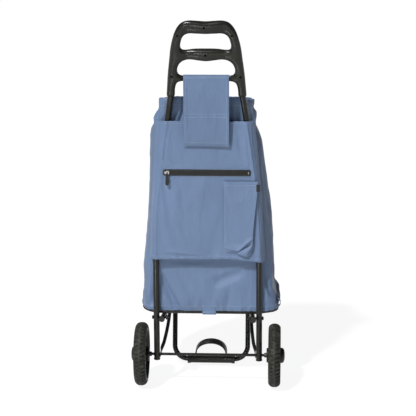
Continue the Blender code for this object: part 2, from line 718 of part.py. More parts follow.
def build_bag(root):
    stations = [(BAG_BOTTOM_Z + z, half, front, drop) for z, half, front, drop in BAG_STATIONS]
    shell_between("bag_body", stations, True, blue_fabric("bag_body"), root, FABRIC)
    shell_between("bag_collar", COLLAR_STATIONS, False, blue_fabric("bag_collar"), root)
    board = rounded_rectangle(-0.1530, 0.1530, BAG_BACK_Y + 0.0100, 0.2600, 0.026)
    low = BAG_BOTTOM_Z + FABRIC + GAP
    prism("bag_base_board", board, low, low + 0.0030, black_plastic("bag_base_board"), root, "XY")
    for side, word in SIDES:
        name = f"{word}_eyelet"
        face = 0.2218
        profile = [(face, 0.0028), (face, 0.0060), (face + 0.0012, 0.0054), (face + 0.0012, 0.0032)]
        turned(name, profile, steel(name), root, (side * 0.022, 0.0, 0.6900), "Y", 14)
    build_base_tab(root)
    build_side_loop(root)


def arc(centre, radius, start, end, steps):
    """Points of an arc, angles in degrees."""
    return [(centre[0] + radius * math.cos(math.radians(start + (end - start) * k / steps)),
             centre[1] + radius * math.sin(math.radians(start + (end - start) * k / steps)))
            for k in range(steps + 1)]


def build_base_tab(root):
    """Fabric tab that holds the bag's hem under the ring's near bar."""
    centre = (RING_NEAR_Y, RING_Z)
    outline = arc(centre, RING_ROD + 0.0016, 150, 390, 10)
    outline += list(reversed(arc(centre, RING_ROD + GAP, 150, 390, 10)))
    prism("base_tab", outline, -0.0135, 0.0195, blue_fabric("base_tab"), root, "YZ")


def build_side_loop(root):
    """Small loop of fabric low on the bag's right side."""
    centre = (0.1672, 0.2040)
    outline = arc(centre, 0.0060, -88, 88, 8) + list(reversed(arc(centre, 0.0045, -88, 88, 8)))
    outline = [(x, centre[1] + (z - centre[1]) * 1.7) for x, z in outline]
    prism("side_loop", outline, 0.046, 0.058, blue_fabric("side_loop"), root, "XZ")


def build_sleeve(root):
    """Panel over the uprights, with a return beside each, sewn to the bag's back."""
    stations = (SLEEVE_BOTTOM_Z, 0.40, 0.50, 0.60, SLEEVE_TOP_Z)
    bm = bmesh.new()
    rings = []
    for z in stations:
        part = (z - SLEEVE_BOTTOM_Z) / (SLEEVE_TOP_Z - SLEEVE_BOTTOM_Z)
        half = SLEEVE_HALF_BOTTOM + (SLEEVE_HALF_TOP - SLEEVE_HALF_BOTTOM) * part
        edge = BAG_BACK_Y - GAP
        right = [(half, SLEEVE_FACE_Y), (half, edge), (half - 0.0025, edge), (half - 0.0025, SLEEVE_BACK_Y)]
        outline = right + [(-x, y) for x, y in reversed(right)]
        rings.append([bm.verts.new((x, y, z)) for x, y in outline])
    for first, second in zip(rings, rings[1:]):
        bridge(bm, first, second)
    bm.faces.new(rings[0])
    bm.faces.new(list(reversed(rings[-1])))
    finish("back_sleeve", bm, blue_fabric("back_sleeve"), root)


def build_zip(root):
    face = SLEEVE_FACE_Y - GAP
    outline = rounded_rectangle(-ZIP_HALF_LENGTH, ZIP_HALF_LENGTH, ZIP_Z - ZIP_HALF_HEIGHT,
                                ZIP_Z + ZIP_HALF_HEIGHT, 0.0060, 3)
    prism("zip_tape", outline, face - 0.0014, face, black_fabric("zip_tape"), root)
    runner = empty("zip_runner", (SLIDER_X, 0.0, ZIP_Z), root)
    front = face - 0.0014 - GAP
    outline = rounded_rectangle(-0.0050, 0.0050, -0.0045, 0.0045, 0.0020, 2)
    prism("zip_slider", outline, front - 0.0042, front, steel("zip_slider"), runner)
    hinge_y = front - 0.0042 - GAP - 0.0007
    hinge = empty("zip_puller_hinge", (0.0, hinge_y, 0.0020), runner)
    outline = rounded_rectangle(-0.0045, 0.0045, -0.0330, 0.0007, 0.0007, 2)
    prism("zip_puller", outline, -0.0007, 0.0007, black_plastic("zip_puller"), hinge)


def build_pocket(root):
    """Umbrella pocket: a face with sides and a bottom, open at the top."""
    back = SLEEVE_FACE_Y - GAP
    wall = 0.0014
    bm_outline = [(POCKET_LEFT, POCKET_BOTTOM_Z + 0.012), (POCKET_LEFT + 0.010, POCKET_BOTTOM_Z),
                  (POCKET_RIGHT + 0.0040, POCKET_BOTTOM_Z), (POCKET_RIGHT + 0.0040, POCKET_BOTTOM_Z + 0.050),
                  (POCKET_RIGHT, POCKET_TOP_Z), (POCKET_LEFT, POCKET_TOP_Z)]
    made = prism("umbrella_pocket", bm_outline, POCKET_FACE_Y, back, blue_fabric("umbrella_pocket"), root)
    hollow = [(POCKET_LEFT + wall, POCKET_BOTTOM_Z + 0.0135), (POCKET_LEFT + 0.0115, POCKET_BOTTOM_Z + wall),
              (POCKET_RIGHT + 0.0040 - wall, POCKET_BOTTOM_Z + wall),
              (POCKET_RIGHT + 0.0040 - wall, POCKET_BOTTOM_Z + 0.050),
              (POCKET_RIGHT - wall, POCKET_TOP_Z + 0.01), (POCKET_LEFT + wall, POCKET_TOP_Z + 0.01)]
    boolean(made, prism("pocket_hollow", hollow, POCKET_FACE_Y + wall, back + 0.005, None, root))
    box("label_tag", (POCKET_RIGHT + 0.0012, SLEEVE_FACE_Y - GAP - 0.0010, 0.5070),
        (POCKET_RIGHT + 0.0080, SLEEVE_FACE_Y - GAP, 0.5250), black_fabric("label_tag"), root)


def build_flap(root):
    """Flap over the handle's crossbar, its hook strip, and the strap behind."""
    hinge = empty("flap_hinge", CROSSBAR_CENTRE, root)
    outer = FLAP_WRAP + FLAP_THICKNESS
    drop = FLAP_BOTTOM_Z - CROSSBAR_CENTRE.z
    end = FLAP_END_Y - CROSSBAR_CENTRE.y
    outside = [(end - FLAP_THICKNESS, drop)] + list(reversed(arc((0, 0), outer, 10, 185, 12)))
    inside = arc((0, 0), FLAP_WRAP, 10, 185, 12) + [(end, drop)]
    prism("handle_flap", outside + inside, -FLAP_HALF_WIDTH, FLAP_HALF_WIDTH, blue_fabric("handle_flap"),
          hinge, "YZ")
    slope = (end + FLAP_WRAP) / drop
    low, high = drop + 0.006, drop + 0.026
    strip = [(end + slope * 0.006 + GAP, low), (end + slope * 0.006 + GAP + 0.0010, low),
             (end + slope * 0.026 + GAP + 0.0010, high), (end + slope * 0.026 + GAP, high)]
    prism("flap_hook_strip", strip, -0.040, 0.040, black_fabric("flap_hook_strip"), hinge, "YZ")
    back = BAG_BACK_Y - GAP
    rise = CROSSBAR_CENTRE.z - 0.0130
    strap = [(back - 0.0016, 0.610), (back, 0.610), (back, 0.662), (CROSSBAR_CENTRE.y + 0.0116, rise),
             (CROSSBAR_CENTRE.y + 0.0100, rise), (back - 0.0016, 0.6615)]
    prism("hanger_strap", strap, -0.054, 0.054, blue_fabric("hanger_strap"), root, "YZ")


def main():
    clear_scene()
    root = empty("trolley", (0.0, AXLE_Y, 0.0))
    build_uprights(root)
    build_base(root)
    build_struts(root)
    build_foot(root)
    build_axle(root)
    for side, word in SIDES:
        build_wheel(root, side, word)
    build_handle(root)
    build_bag(root)
    build_sleeve(root)
    build_zip(root)
    build_pocket(root)
    build_flap(root)


main()
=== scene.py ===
"""Shopping trolley on wheels: the finished look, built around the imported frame.

Metres, +Z up, the frame's own axes: +X right as seen from the handle side, +Y
towards the bag's front. Fabric is a lofted shell with placed folds, settled a
little by cloth simulation; metal and plastic are meshes around the frame's own
bodies.
"""

import json
import math

import bmesh
import bpy
import numpy as np
from mathutils import Matrix, Quaternion, Vector, noise
from mathutils.kdtree import KDTree


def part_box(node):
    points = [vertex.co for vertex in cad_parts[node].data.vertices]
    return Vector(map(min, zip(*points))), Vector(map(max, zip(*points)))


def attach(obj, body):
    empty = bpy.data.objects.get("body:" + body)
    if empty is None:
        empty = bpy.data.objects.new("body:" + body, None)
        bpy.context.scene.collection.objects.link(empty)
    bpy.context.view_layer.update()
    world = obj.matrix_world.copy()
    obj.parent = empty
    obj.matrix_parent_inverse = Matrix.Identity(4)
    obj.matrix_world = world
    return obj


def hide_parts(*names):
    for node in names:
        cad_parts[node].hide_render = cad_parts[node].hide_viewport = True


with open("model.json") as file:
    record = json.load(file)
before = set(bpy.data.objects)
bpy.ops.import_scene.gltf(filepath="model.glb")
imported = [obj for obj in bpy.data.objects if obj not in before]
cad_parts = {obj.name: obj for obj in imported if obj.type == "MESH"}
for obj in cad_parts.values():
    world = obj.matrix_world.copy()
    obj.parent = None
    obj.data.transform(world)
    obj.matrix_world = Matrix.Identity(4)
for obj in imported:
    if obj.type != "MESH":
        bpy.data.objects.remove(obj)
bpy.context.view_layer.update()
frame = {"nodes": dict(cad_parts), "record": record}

# ---------------------------------------------------------------- driving sizes
AXLE_LOW, AXLE_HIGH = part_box("axle")
AXLE_Y = (AXLE_LOW[1] + AXLE_HIGH[1]) / 2
AXLE_Z = (AXLE_LOW[2] + AXLE_HIGH[2]) / 2

VIEW_AZIMUTH = math.radians(3.0)
VIEW_ELEVATION = math.radians(14.0)
VIEW_DISTANCE = 4.05
VIEW_HEIGHT = 0.4616            # the height the camera aims at
VIEW_SIDE = 0.0017
VIEW_ROLL = math.radians(-0.25)
LENS = 141.8

TUBE_RADIUS = 0.0075
UPRIGHT_X = 0.1290
TAPER_START_Z = 0.320
TAPER_LENGTH = 0.292
TAPER_SLOPE = 0.150
LEAN = math.radians(15.0)
LEAN_START_Z = 0.675
LEAN_RADIUS = 0.230


# ---------------------------------------------------------------- small helpers
def smooth_step(low, high, value):
    part = min(max((value - low) / (high - low), 0.0), 1.0)
    return part * part * (3 - 2 * part)


def bump(value, centre, width):
    """A bell of height 1 around centre."""
    return math.exp(-((value - centre) / width) ** 2)


def interpolate(stations, value):
    """Smooth values between rows of (position, value, value...)."""
    if value <= stations[0][0]:
        return stations[0][1:]
    for low, high in zip(stations, stations[1:]):
        if value <= high[0]:
            part = (value - low[0]) / (high[0] - low[0])
            return tuple(a + (b - a) * part for a, b in zip(low[1:], high[1:]))
    return stations[-1][1:]


def upright_x(z):
    """Half spacing of the uprights' centre lines at a height."""
    rise = z - TAPER_START_Z
    if rise <= 0:
        return UPRIGHT_X
    if rise < TAPER_LENGTH:
        return UPRIGHT_X - TAPER_SLOPE * rise * rise / (2 * TAPER_LENGTH)
    return UPRIGHT_X - TAPER_SLOPE * (rise - TAPER_LENGTH / 2)


# ---------------------------------------------------------------- materials
class Paint:
    """A node material being built, with short calls for its nodes."""

    def __init__(self, name, colour, roughness, metallic=0.0, specular=0.5):
        self.made = bpy.data.materials.new(name)
        self.made.use_nodes = True
        self.tree = self.made.node_tree
        self.shader = self.tree.nodes["Principled BSDF"]
        self.shader.inputs["Base Color"].default_value = (*colour, 1.0)
        self.shader.inputs["Roughness"].default_value = roughness
        self.shader.inputs["Metallic"].default_value = metallic
        self.shader.inputs["Specular IOR Level"].default_value = specular
        self.colour = colour
        self.place = self.node("ShaderNodeTexCoord").outputs["Object"]
        self.height = None

    def node(self, kind, **values):
        made = self.tree.nodes.new(kind)
        for key, value in values.items():
            setattr(made, key, value)
        return made

    def link(self, source, target):
        self.tree.links.new(source, target)

    def math(self, operation, first, second=None):
        made = self.node("ShaderNodeMath", operation=operation)
        for socket, value in zip(made.inputs, (first, second)):
            if value is None:
                continue
            if isinstance(value, (int, float)):
                socket.default_value = value
            else:
                self.link(value, socket)
        return made.outputs[0]

    def noise(self, scale, detail=3.0, stretch=(1.0, 1.0, 1.0), rough=0.55):
        mapping = self.node("ShaderNodeMapping")
        mapping.inputs["Scale"].default_value = stretch
        self.link(self.place, mapping.inputs["Vector"])
        made = self.node("ShaderNodeTexNoise")
        made.inputs["Scale"].default_value = scale
        made.inputs["Detail"].default_value = detail
        made.inputs["Roughness"].default_value = rough
        self.link(mapping.outputs[0], made.inputs["Vector"])
        return made.outputs["Fac"]

    def spread(self, value, low, high, to_low=0.0, to_high=1.0):
        made = self.node("ShaderNodeMapRange")
        made.inputs["From Min"].default_value = low
        made.inputs["From Max"].default_value = high
        made.inputs["To Min"].default_value = to_low
        made.inputs["To Max"].default_value = to_high
        self.link(value, made.inputs["Value"])
        return made.outputs[0]

    def vary_colour(self, amount, dark, light):
        """Mix two shades of the colour by a 0 to 1 value."""
        mix = self.node("ShaderNodeMix", data_type="RGBA")
        mix.inputs["A"].default_value = (*[c * dark for c in self.colour], 1.0)
        mix.inputs["B"].default_value = (*[min(c * light, 1.0) for c in self.colour], 1.0)
        self.link(amount, mix.inputs["Factor"])
        self.link(mix.outputs["Result"], self.shader.inputs["Base Color"])
        return mix

    def over_colour(self, mask, colour):
        """Lay another colour over what the shader has, where mask is 1."""
        source = self.shader.inputs["Base Color"].links[0].from_socket
        mix = self.node("ShaderNodeMix", data_type="RGBA")
        mix.inputs["B"].default_value = (*colour, 1.0)
        self.link(mask, mix.inputs["Factor"])
        self.link(source, mix.inputs["A"])
        self.link(mix.outputs["Result"], self.shader.inputs["Base Color"])

    def rough(self, value, low, high):
        self.link(self.spread(value, 0.3, 0.7, low, high), self.shader.inputs["Roughness"])

    def relief(self, value, distance, strength=1.0):
        """Add a height to the surface, on top of what is there."""
        made = self.node("ShaderNodeBump")
        made.inputs["Strength"].default_value = strength
        made.inputs["Distance"].default_value = distance
        self.link(value, made.inputs["Height"])
        if self.height is not None:
            self.link(self.height, made.inputs["Normal"])
        self.height = made.outputs["Normal"]
        self.link(self.height, self.shader.inputs["Normal"])


def weave(paint, pitch):
    """Height of a plain weave of threads that run up and around a surface."""
    parts = paint.node("ShaderNodeSeparateXYZ")
    paint.link(paint.place, parts.inputs[0])
    turns = 2 * math.pi / pitch
    around = paint.math("ADD", parts.outputs["X"], parts.outputs["Y"])
    across = paint.math("SINE", paint.math("MULTIPLY", around, turns))
    up = paint.math("SINE", paint.math("MULTIPLY", parts.outputs["Z"], turns))
    return paint.math("MULTIPLY", across, up)


def fabric(name, colour, roughness=0.35, sheen=0.05, pitch=0.0011, depth=0.00010):
    """Coated woven polyester: fine weave, soft sheen, faint crumple marks."""
    paint = Paint(name, colour, roughness, specular=0.50)
    cloud = paint.noise(7.0, 4.0, (1.0, 1.0, 0.55))
    fine = paint.noise(420.0, 2.0)
    tone = paint.math("ADD", paint.math("MULTIPLY", cloud, 0.7), paint.math("MULTIPLY", fine, 0.3))
    paint.vary_colour(paint.spread(tone, 0.36, 0.64), 0.90, 1.10)
    paint.rough(paint.noise(60.0, 3.0), roughness - 0.06, roughness + 0.08)
    paint.relief(weave(paint, pitch), depth)
    paint.relief(paint.noise(55.0, 5.0, (1.0, 1.0, 0.45)), 0.0016, 0.60)
    paint.relief(paint.noise(15.0, 3.0, (1.0, 1.0, 0.50)), 0.0090, 0.70)
    paint.shader.inputs["Sheen Weight"].default_value = sheen
    paint.shader.inputs["Sheen Roughness"].default_value = 0.5
    return paint.made


def painted_steel(name):
    """Powder coat: fine orange peel, with a little dust in the roughness."""
    paint = Paint(name, (0.011, 0.011, 0.009), 0.26, 0.0, 0.35)
    paint.vary_colour(paint.spread(paint.noise(30.0, 4.0), 0.35, 0.65), 0.88, 1.14)
    paint.rough(paint.noise(90.0, 4.0), 0.20, 0.28)
    paint.relief(paint.noise(900.0, 2.0), 0.00003, 0.5)
    paint.shader.inputs["Coat Weight"].default_value = 0.15
    paint.shader.inputs["Coat Roughness"].default_value = 0.18
    return paint.made


def moulded_plastic(name, colour=(0.021, 0.021, 0.018), roughness=0.34, grain=0.00010):
    """Injection-moulded black plastic with a fine spark-eroded grain."""
    paint = Paint(name, colour, roughness, specular=0.40)
    paint.vary_colour(paint.spread(paint.noise(18.0, 3.0), 0.35, 0.65), 0.85, 1.2)
    paint.rough(paint.noise(45.0, 4.0), roughness - 0.06, roughness + 0.08)
    paint.relief(paint.noise(1500.0, 2.0), grain, 0.7)
    return paint.made


def tyre_rubber(name):
    """Dark rubber, dusty where it has rolled."""
    paint = Paint(name, (0.026, 0.026, 0.021), 0.55, specular=0.35)
    paint.vary_colour(paint.spread(paint.noise(40.0, 5.0), 0.35, 0.7), 0.75, 1.35)
    dust = paint.spread(paint.noise(110.0, 4.0), 0.50, 0.72, 0.0, 0.45)
    paint.over_colour(dust, (0.13, 0.127, 0.105))
    paint.rough(paint.noise(70.0, 3.0), 0.52, 0.72)
    paint.relief(paint.noise(700.0, 3.0), 0.00020, 0.7)
    return paint.made


def zinc_steel(name, colour=(0.52, 0.52, 0.50)):
    """Zinc plate, slightly clouded."""
    paint = Paint(name, colour, 0.34, 1.0)
    paint.vary_colour(paint.spread(paint.noise(300.0, 3.0), 0.35, 0.65), 0.75, 1.15)
    paint.rough(paint.noise(500.0, 3.0), 0.26, 0.46)
    paint.relief(paint.noise(1200.0, 2.0), 0.00006, 0.5)
    return paint.made


FLOOR_GLOW = 0.905             # how bright the floor looks by itself, and how much it lights
FLOOR_FILL = 0.55


def floor_paint():
    """A pale, even floor with a faint mottle, lit from within so that it stays near white."""
    paint = Paint("pale_floor", (0.16, 0.16, 0.16), 0.85, specular=0.1)
    paint.vary_colour(paint.spread(paint.noise(3.0, 2.0), 0.3, 0.7), 0.985, 1.01)
    paint.shader.inputs["Emission Color"].default_value = (1.0, 1.0, 1.0, 1.0)
    seen = paint.node("ShaderNodeLightPath").outputs["Is Camera Ray"]
    strength = paint.math("ADD", paint.math("MULTIPLY", seen, FLOOR_GLOW - FLOOR_FILL), FLOOR_FILL)
    paint.link(strength, paint.shader.inputs["Emission Strength"])
    return paint.made


BLUE = (0.161, 0.243, 0.409)
MATERIALS = {
    "frame_paint": painted_steel("frame_powder_coat"),
    "black_plastic": moulded_plastic("satin_black_plastic"),
    "handle_plastic": moulded_plastic("handle_black_plastic", (0.019, 0.019, 0.015), roughness=0.27, grain=0.000008),
    "rim_plastic": moulded_plastic("rim_black_plastic", (0.015, 0.015, 0.013), 0.32, 0.00006),
    "tyre_rubber": tyre_rubber("tyre_rubber"),
    "steel": zinc_steel("zinc_steel"),
    "bag_fabric": fabric("blue_coated_polyester", BLUE),
    "zip_black": fabric("black_tape", (0.020, 0.021, 0.020), 0.62, 0.1, 0.0009, 0.00012),
}
# The bag's inner face: a dark navy that is partly the lining's own colour and partly painted shade of the bag's
# shadowed inside.
LINING_AND_PAINTED_SHADE = fabric("navy_lining_and_painted_shade", (0.040, 0.058, 0.105), 0.55, 0.1)
BRIGHT_STEEL = zinc_steel("nickel_plated_steel", (0.80, 0.79, 0.76))
DARK_SCREW = zinc_steel("black_oxide_steel", (0.030, 0.030, 0.030))
THREAD = fabric("blue_thread", (0.40, 0.50, 0.68), 0.55, 0.2, 0.0006, 0.00008)


# ---------------------------------------------------------------- making pieces
def linked(name, data):
    """A new object in the scene."""
    made = bpy.data.objects.new(name, data)
    bpy.context.scene.collection.objects.link(made)
    return made


def evaluated(made):
    """The mesh that an object's modifiers make."""
    return bpy.data.meshes.new_from_object(made.evaluated_get(bpy.context.evaluated_depsgraph_get()))


def bridge(bm, first, second, closed=True):
    """Faces between two rows of vertices."""
    count = len(first)
    for k in range(count if closed else count - 1):
        following = (k + 1) % count
        bm.faces.new((first[k], first[following], second[following], second[k]))


def cap_ends(bm, rings):
    bm.faces.new(list(reversed(rings[0])))
    bm.faces.new(rings[-1])


def make(name, bm, slot, replaced=(), body="root", smooth=40.0, material=None):
    """Turn a bmesh into a piece that rides on a body, in its slot's material unless another is given."""
    mesh = bpy.data.meshes.new(name)
    bm.to_mesh(mesh)
    bm.free()
    made = linked(name, mesh)
    mesh.materials.append(material or MATERIALS[slot])
    mesh.shade_smooth()
    if smooth < 180.0:
        mesh.set_sharp_from_angle(angle=math.radians(smooth))
    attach(made, body)
    if replaced:
        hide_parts(*replaced)
    return made


def paint_frame_nodes():
    """Every carried-over body gets the material of its slot."""
    slots = {row["node"]: row["material_slot"] for row in frame["record"]["subparts"]}
    dark = ("base_bolt", "base_nut", "strut_rivet")
    for node, made in frame["nodes"].items():
        made.data.materials.clear()
        made.data.materials.append(DARK_SCREW if node.endswith(dark) else MATERIALS[slots[node]])


# ---------------------------------------------------------------- sheets of fabric
def at(x, y, z):
    """A point from its distance behind (+) or before (-) the axle."""
    return (x, AXLE_Y + y, z)


def grid_mesh(rows, closed=False):
    bm = bmesh.new()
    made = [[bm.verts.new(tuple(point)) for point in row] for row in rows]
    for low, high in zip(made, made[1:]):
        bridge(bm, low, high, closed)
    return bm


def finer(grid, closed=False):
    """Twice the rows and columns, on smooth curves through the old ones."""
    def halves(points, around):
        if around:
            before, after, far = (np.roll(points, k, 0) for k in (1, -1, -2))
        else:
            extended = np.concatenate([2 * points[:1] - points[1:2], points, 2 * points[-1:] - points[-2:-1]])
            before, points_in, after, far = (extended[k:len(extended) - 3 + k] for k in range(4))
        middle = (-before + 9 * (points if around else points_in) + 9 * after - far) / 16
        count = len(points)
        made = np.empty((2 * count - (0 if around else 1), *points.shape[1:]))
        made[0::2] = points
        made[1::2] = middle
        return made
    made = halves(np.asarray(grid, dtype=float), False)
    return halves(made.swapaxes(0, 1), closed).swapaxes(0, 1)


def grid_normals(grid, closed=False):
    """Unit normals of a grid, pointing where its faces point."""
    if closed:
        along = np.roll(grid, -1, 1) - np.roll(grid, 1, 1)
    else:
        along = np.gradient(grid, axis=1)
    up = np.gradient(grid, axis=0)
    normal = np.cross(along, up)
    return normal / np.maximum(np.linalg.norm(normal, axis=2, keepdims=True), 1e-9)


def relax(grid, closed, pins, loose, growth, frames, pressure=0.0, cap=0.009, bending=0.5, weight=0.2):
    """Let slack cloth settle: pins hold it, loose says where it has length to spare."""
    grid = np.asarray(grid, dtype=float)
    scene = bpy.context.scene
    mesh = bpy.data.meshes.new("slack")
    bm = grid_mesh(grid, closed)
    bm.to_mesh(mesh)
    bm.free()
    holder = linked("slack", mesh)
    for name, weights in (("pins", pins), ("loose", loose)):
        group = holder.vertex_groups.new(name=name)
        for index, value in enumerate(np.asarray(weights, dtype=float).ravel()):
            if value > 0.0:
                group.add([index], float(min(value, 1.0)), "REPLACE")
    cloth = holder.modifiers.new("cloth", "CLOTH")
    setup = cloth.settings
    setup.quality = 6
    setup.mass = weight
    setup.tension_stiffness = setup.compression_stiffness = 12.0
    setup.shear_stiffness = 6.0
    setup.bending_stiffness = bending
    setup.vertex_group_mass = "pins"
    setup.vertex_group_shrink = "loose"
    setup.shrink_min = 0.0
    setup.shrink_max = -growth
    setup.use_pressure = pressure != 0.0
    setup.uniform_pressure_force = pressure
    cloth.collision_settings.use_collision = False
    cloth.point_cache.frame_start = 1
    cloth.point_cache.frame_end = frames
    for step in range(1, frames + 1):
        scene.frame_set(step)
    result = holder.evaluated_get(bpy.context.evaluated_depsgraph_get()).to_mesh()
    settled = np.empty(len(result.vertices) * 3)
    result.vertices.foreach_get("co", settled)
    settled = settled.reshape(grid.shape)
    bpy.data.objects.remove(holder, do_unlink=True)
    scene.frame_set(1)
    moved = settled - grid
    far = np.linalg.norm(moved, axis=2, keepdims=True)
    return grid + moved * np.minimum(1.0, cap / np.maximum(far, 1e-9))


def fold(x, z, start, end, width, depth):
    """A raised (or, below zero, sunk) fold along a line that fades at its ends."""
    run = (end[0] - start[0], end[1] - start[1])
    length = math.hypot(*run)
    part = ((x - start[0]) * run[0] + (z - start[1]) * run[1]) / length ** 2
    if part < -0.15 or part > 1.15:
        return 0.0
    away = ((x - start[0]) * run[1] - (z - start[1]) * run[0]) / length
    fade = math.sin(math.pi * min(max((part + 0.15) / 1.3, 0.0), 1.0))
    return depth * fade * math.exp(-(away / width) ** 2)


def add_folds(push, x, z, folds, share=1.0):
    for row in folds:
        push += share * fold(x, z, *row)
    return push


def crumple(x, y, z, seed=0.0):
    """Uneven creases between -1 and 1, with sharp ridges."""
    first = noise.noise((x * 16 + seed, y * 16, z * 9))
    second = noise.noise((x * 37 - seed, y * 37 + 3.1, z * 22))
    third = noise.noise((x * 80, y * 80 + seed, z * 50))
    return 0.55 * (1 - 3.0 * abs(first)) + 0.30 * (1 - 3.0 * abs(second)) + 0.12 * third


def thicken(made, thickness, inward=True, second=None):
    """Give a sheet its real thickness, with another material on its far side."""
    if second is not None:
        made.data.materials.append(second)
    solid = made.modifiers.new("thickness", "SOLIDIFY")
    solid.thickness = thickness
    solid.offset = -1.0 if inward else 0.0
    solid.material_offset = 0 if second is None else 1
    mesh = evaluated(made)
    made.modifiers.clear()
    old = made.data
    made.data = mesh
    bpy.data.meshes.remove(old)
    mesh.name = made.name
    mesh.shade_smooth()


def on_cloth(grid, normals, places):
    """Points of a seam at (row, column) places, just above the cloth."""
    return [grid[i][j] + normals[i][j] * 0.0003 for i, j in places]


def stitches(name, path, body="root", pitch=0.0032, length=0.0023, radius=0.00042):
    """Thread showing as short stitches along a path of points on a surface."""
    points = [Vector(point) for point in path]
    lengths = [0.0]
    for first, second in zip(points, points[1:]):
        lengths.append(lengths[-1] + (second - first).length)
    bm = bmesh.new()

    def place(travel):
        for index in range(1, len(points)):
            if travel <= lengths[index]:
                span = max(lengths[index] - lengths[index - 1], 1e-9)
                return points[index - 1].lerp(points[index], (travel - lengths[index - 1]) / span)
        return points[-1].copy()

    for count in range(int(lengths[-1] / pitch)):
        start, end = place(count * pitch), place(count * pitch + length)
        along = (end - start).normalized()
        side = along.orthogonal().normalized()
        other = along.cross(side)
        rings = []
        for centre, size in ((start, 0.4), (start.lerp(end, 0.25), 1.0), (start.lerp(end, 0.75), 1.0), (end, 0.4)):
            rings.append([bm.verts.new(centre + (side * math.cos(a) + other * math.sin(a)) * radius * size)
                          for a in (0.0, math.pi / 2, math.pi, 3 * math.pi / 2)])
        for low, high in zip(rings, rings[1:]):
            bridge(bm, low, high)
        cap_ends(bm, rings)
    return make(name, bm, "bag_fabric", body=body, material=THREAD)


# ---------------------------------------------------------------- bag
BAG_ROWS = (      # height; left and right half widths; back and front, from the axle
    (0.1900, 0.1590, 0.1690, 0.0125, 0.2660), (0.1925, 0.1640, 0.1745, 0.0110, 0.2690),
    (0.2000, 0.1680, 0.1765, 0.0100, 0.2715), (0.2400, 0.1740, 0.1690, 0.0098, 0.2750),
    (0.3000, 0.1730, 0.1650, 0.0098, 0.2755), (0.3700, 0.1660, 0.1620, 0.0098, 0.2720),
    (0.4300, 0.1590, 0.1580, 0.0098, 0.2680), (0.5000, 0.1550, 0.1480, 0.0098, 0.2625),
    (0.5750, 0.1520, 0.1385, 0.0098, 0.2560), (0.6030, 0.1525, 0.1350, 0.0098, 0.2530),
    (0.6400, 0.1520, 0.1225, 0.0098, 0.2440), (0.6600, 0.1405, 0.1140, 0.0102, 0.2320),
    (0.6750, 0.1250, 0.1065, 0.0106, 0.2230), (0.6900, 0.1180, 0.1060, 0.0110, 0.2200),
    (0.7120, 0.1170, 0.1080, 0.0110, 0.2215),
)
BAG_COUNTS = (36, 7, 25, 8, 31, 8, 25, 7)     # columns of back, corner, side, corner, front...
BACK_CORNER = 0.034
FRONT_CORNER = 0.048
NECK_Z = 0.678
BAG_WALL = 0.0008


def bag_outline(z):
    """Points around the bag at a height, from the back's left end, seen from above."""
    left, right, back, front = interpolate(BAG_ROWS, z)
    low_left, low_right = (-left + BACK_CORNER, back), (right - BACK_CORNER, back)
    corners = ((right - BACK_CORNER, back + BACK_CORNER, BACK_CORNER, -90),
               (right - FRONT_CORNER, front - FRONT_CORNER, FRONT_CORNER, 0),
               (-left + FRONT_CORNER, front - FRONT_CORNER, FRONT_CORNER, 90),
               (-left + BACK_CORNER, back + BACK_CORNER, BACK_CORNER, 180))
    starts = (low_left, (right, back + BACK_CORNER), (right - FRONT_CORNER, front), (-left, front - FRONT_CORNER))
    ends = (low_right, (right, front - FRONT_CORNER), (-left + FRONT_CORNER, front), (-left, back + BACK_CORNER))
    bulges = (0.0, 0.0050, 0.0060, 0.0050)
    outward = ((0, -1), (1, 0), (0, 1), (-1, 0))
    points = []
    for index in range(4):
        straight, bend = BAG_COUNTS[2 * index], BAG_COUNTS[2 * index + 1]
        for k in range(straight):
            part = k / straight
            swell = bulges[index] * math.sin(math.pi * part) ** 2 * smooth_step(0.695, 0.640, z)
            x = starts[index][0] + (ends[index][0] - starts[index][0]) * part + outward[index][0] * swell
            y = starts[index][1] + (ends[index][1] - starts[index][1]) * part + outward[index][1] * swell
            points.append((x, y))
        x, y, radius, turn = corners[index]
        for k in range(bend):
            angle = math.radians(turn + 90 * k / bend)
            points.append((x + radius * math.cos(angle), y + radius * math.sin(angle)))
    return points


def rim_height(x, y):
    """The top edge is highest at the near side and falls towards the far side."""
    near = 0.7365 + 0.0025 * bump(x, -0.075, 0.03) - 0.016 * smooth_step(0.085, 0.115, x)
    near -= 0.006 * smooth_step(0.092, 0.118, -x)
    return near + (0.7005 - near) * smooth_step(0.0, 0.24, y)


BAG_FOLDS = (      # start and end in x and z, width, height
    ((-0.121, 0.290), (-0.074, 0.192), 0.0085, -0.0085), ((-0.100, 0.300), (-0.052, 0.196), 0.0120, 0.0070),
    ((0.112, 0.262), (0.078, 0.192), 0.0055, 0.0050), ((0.098, 0.300), (0.010, 0.262), 0.0120, -0.0060),
    ((0.088, 0.300), (0.118, 0.258), 0.0065, 0.0040), ((0.056, 0.252), (0.046, 0.192), 0.0070, -0.0030),
    ((-0.020, 0.236), (-0.030, 0.194), 0.0050, 0.0022), ((0.020, 0.228), (0.016, 0.194), 0.0040, 0.0018),
)


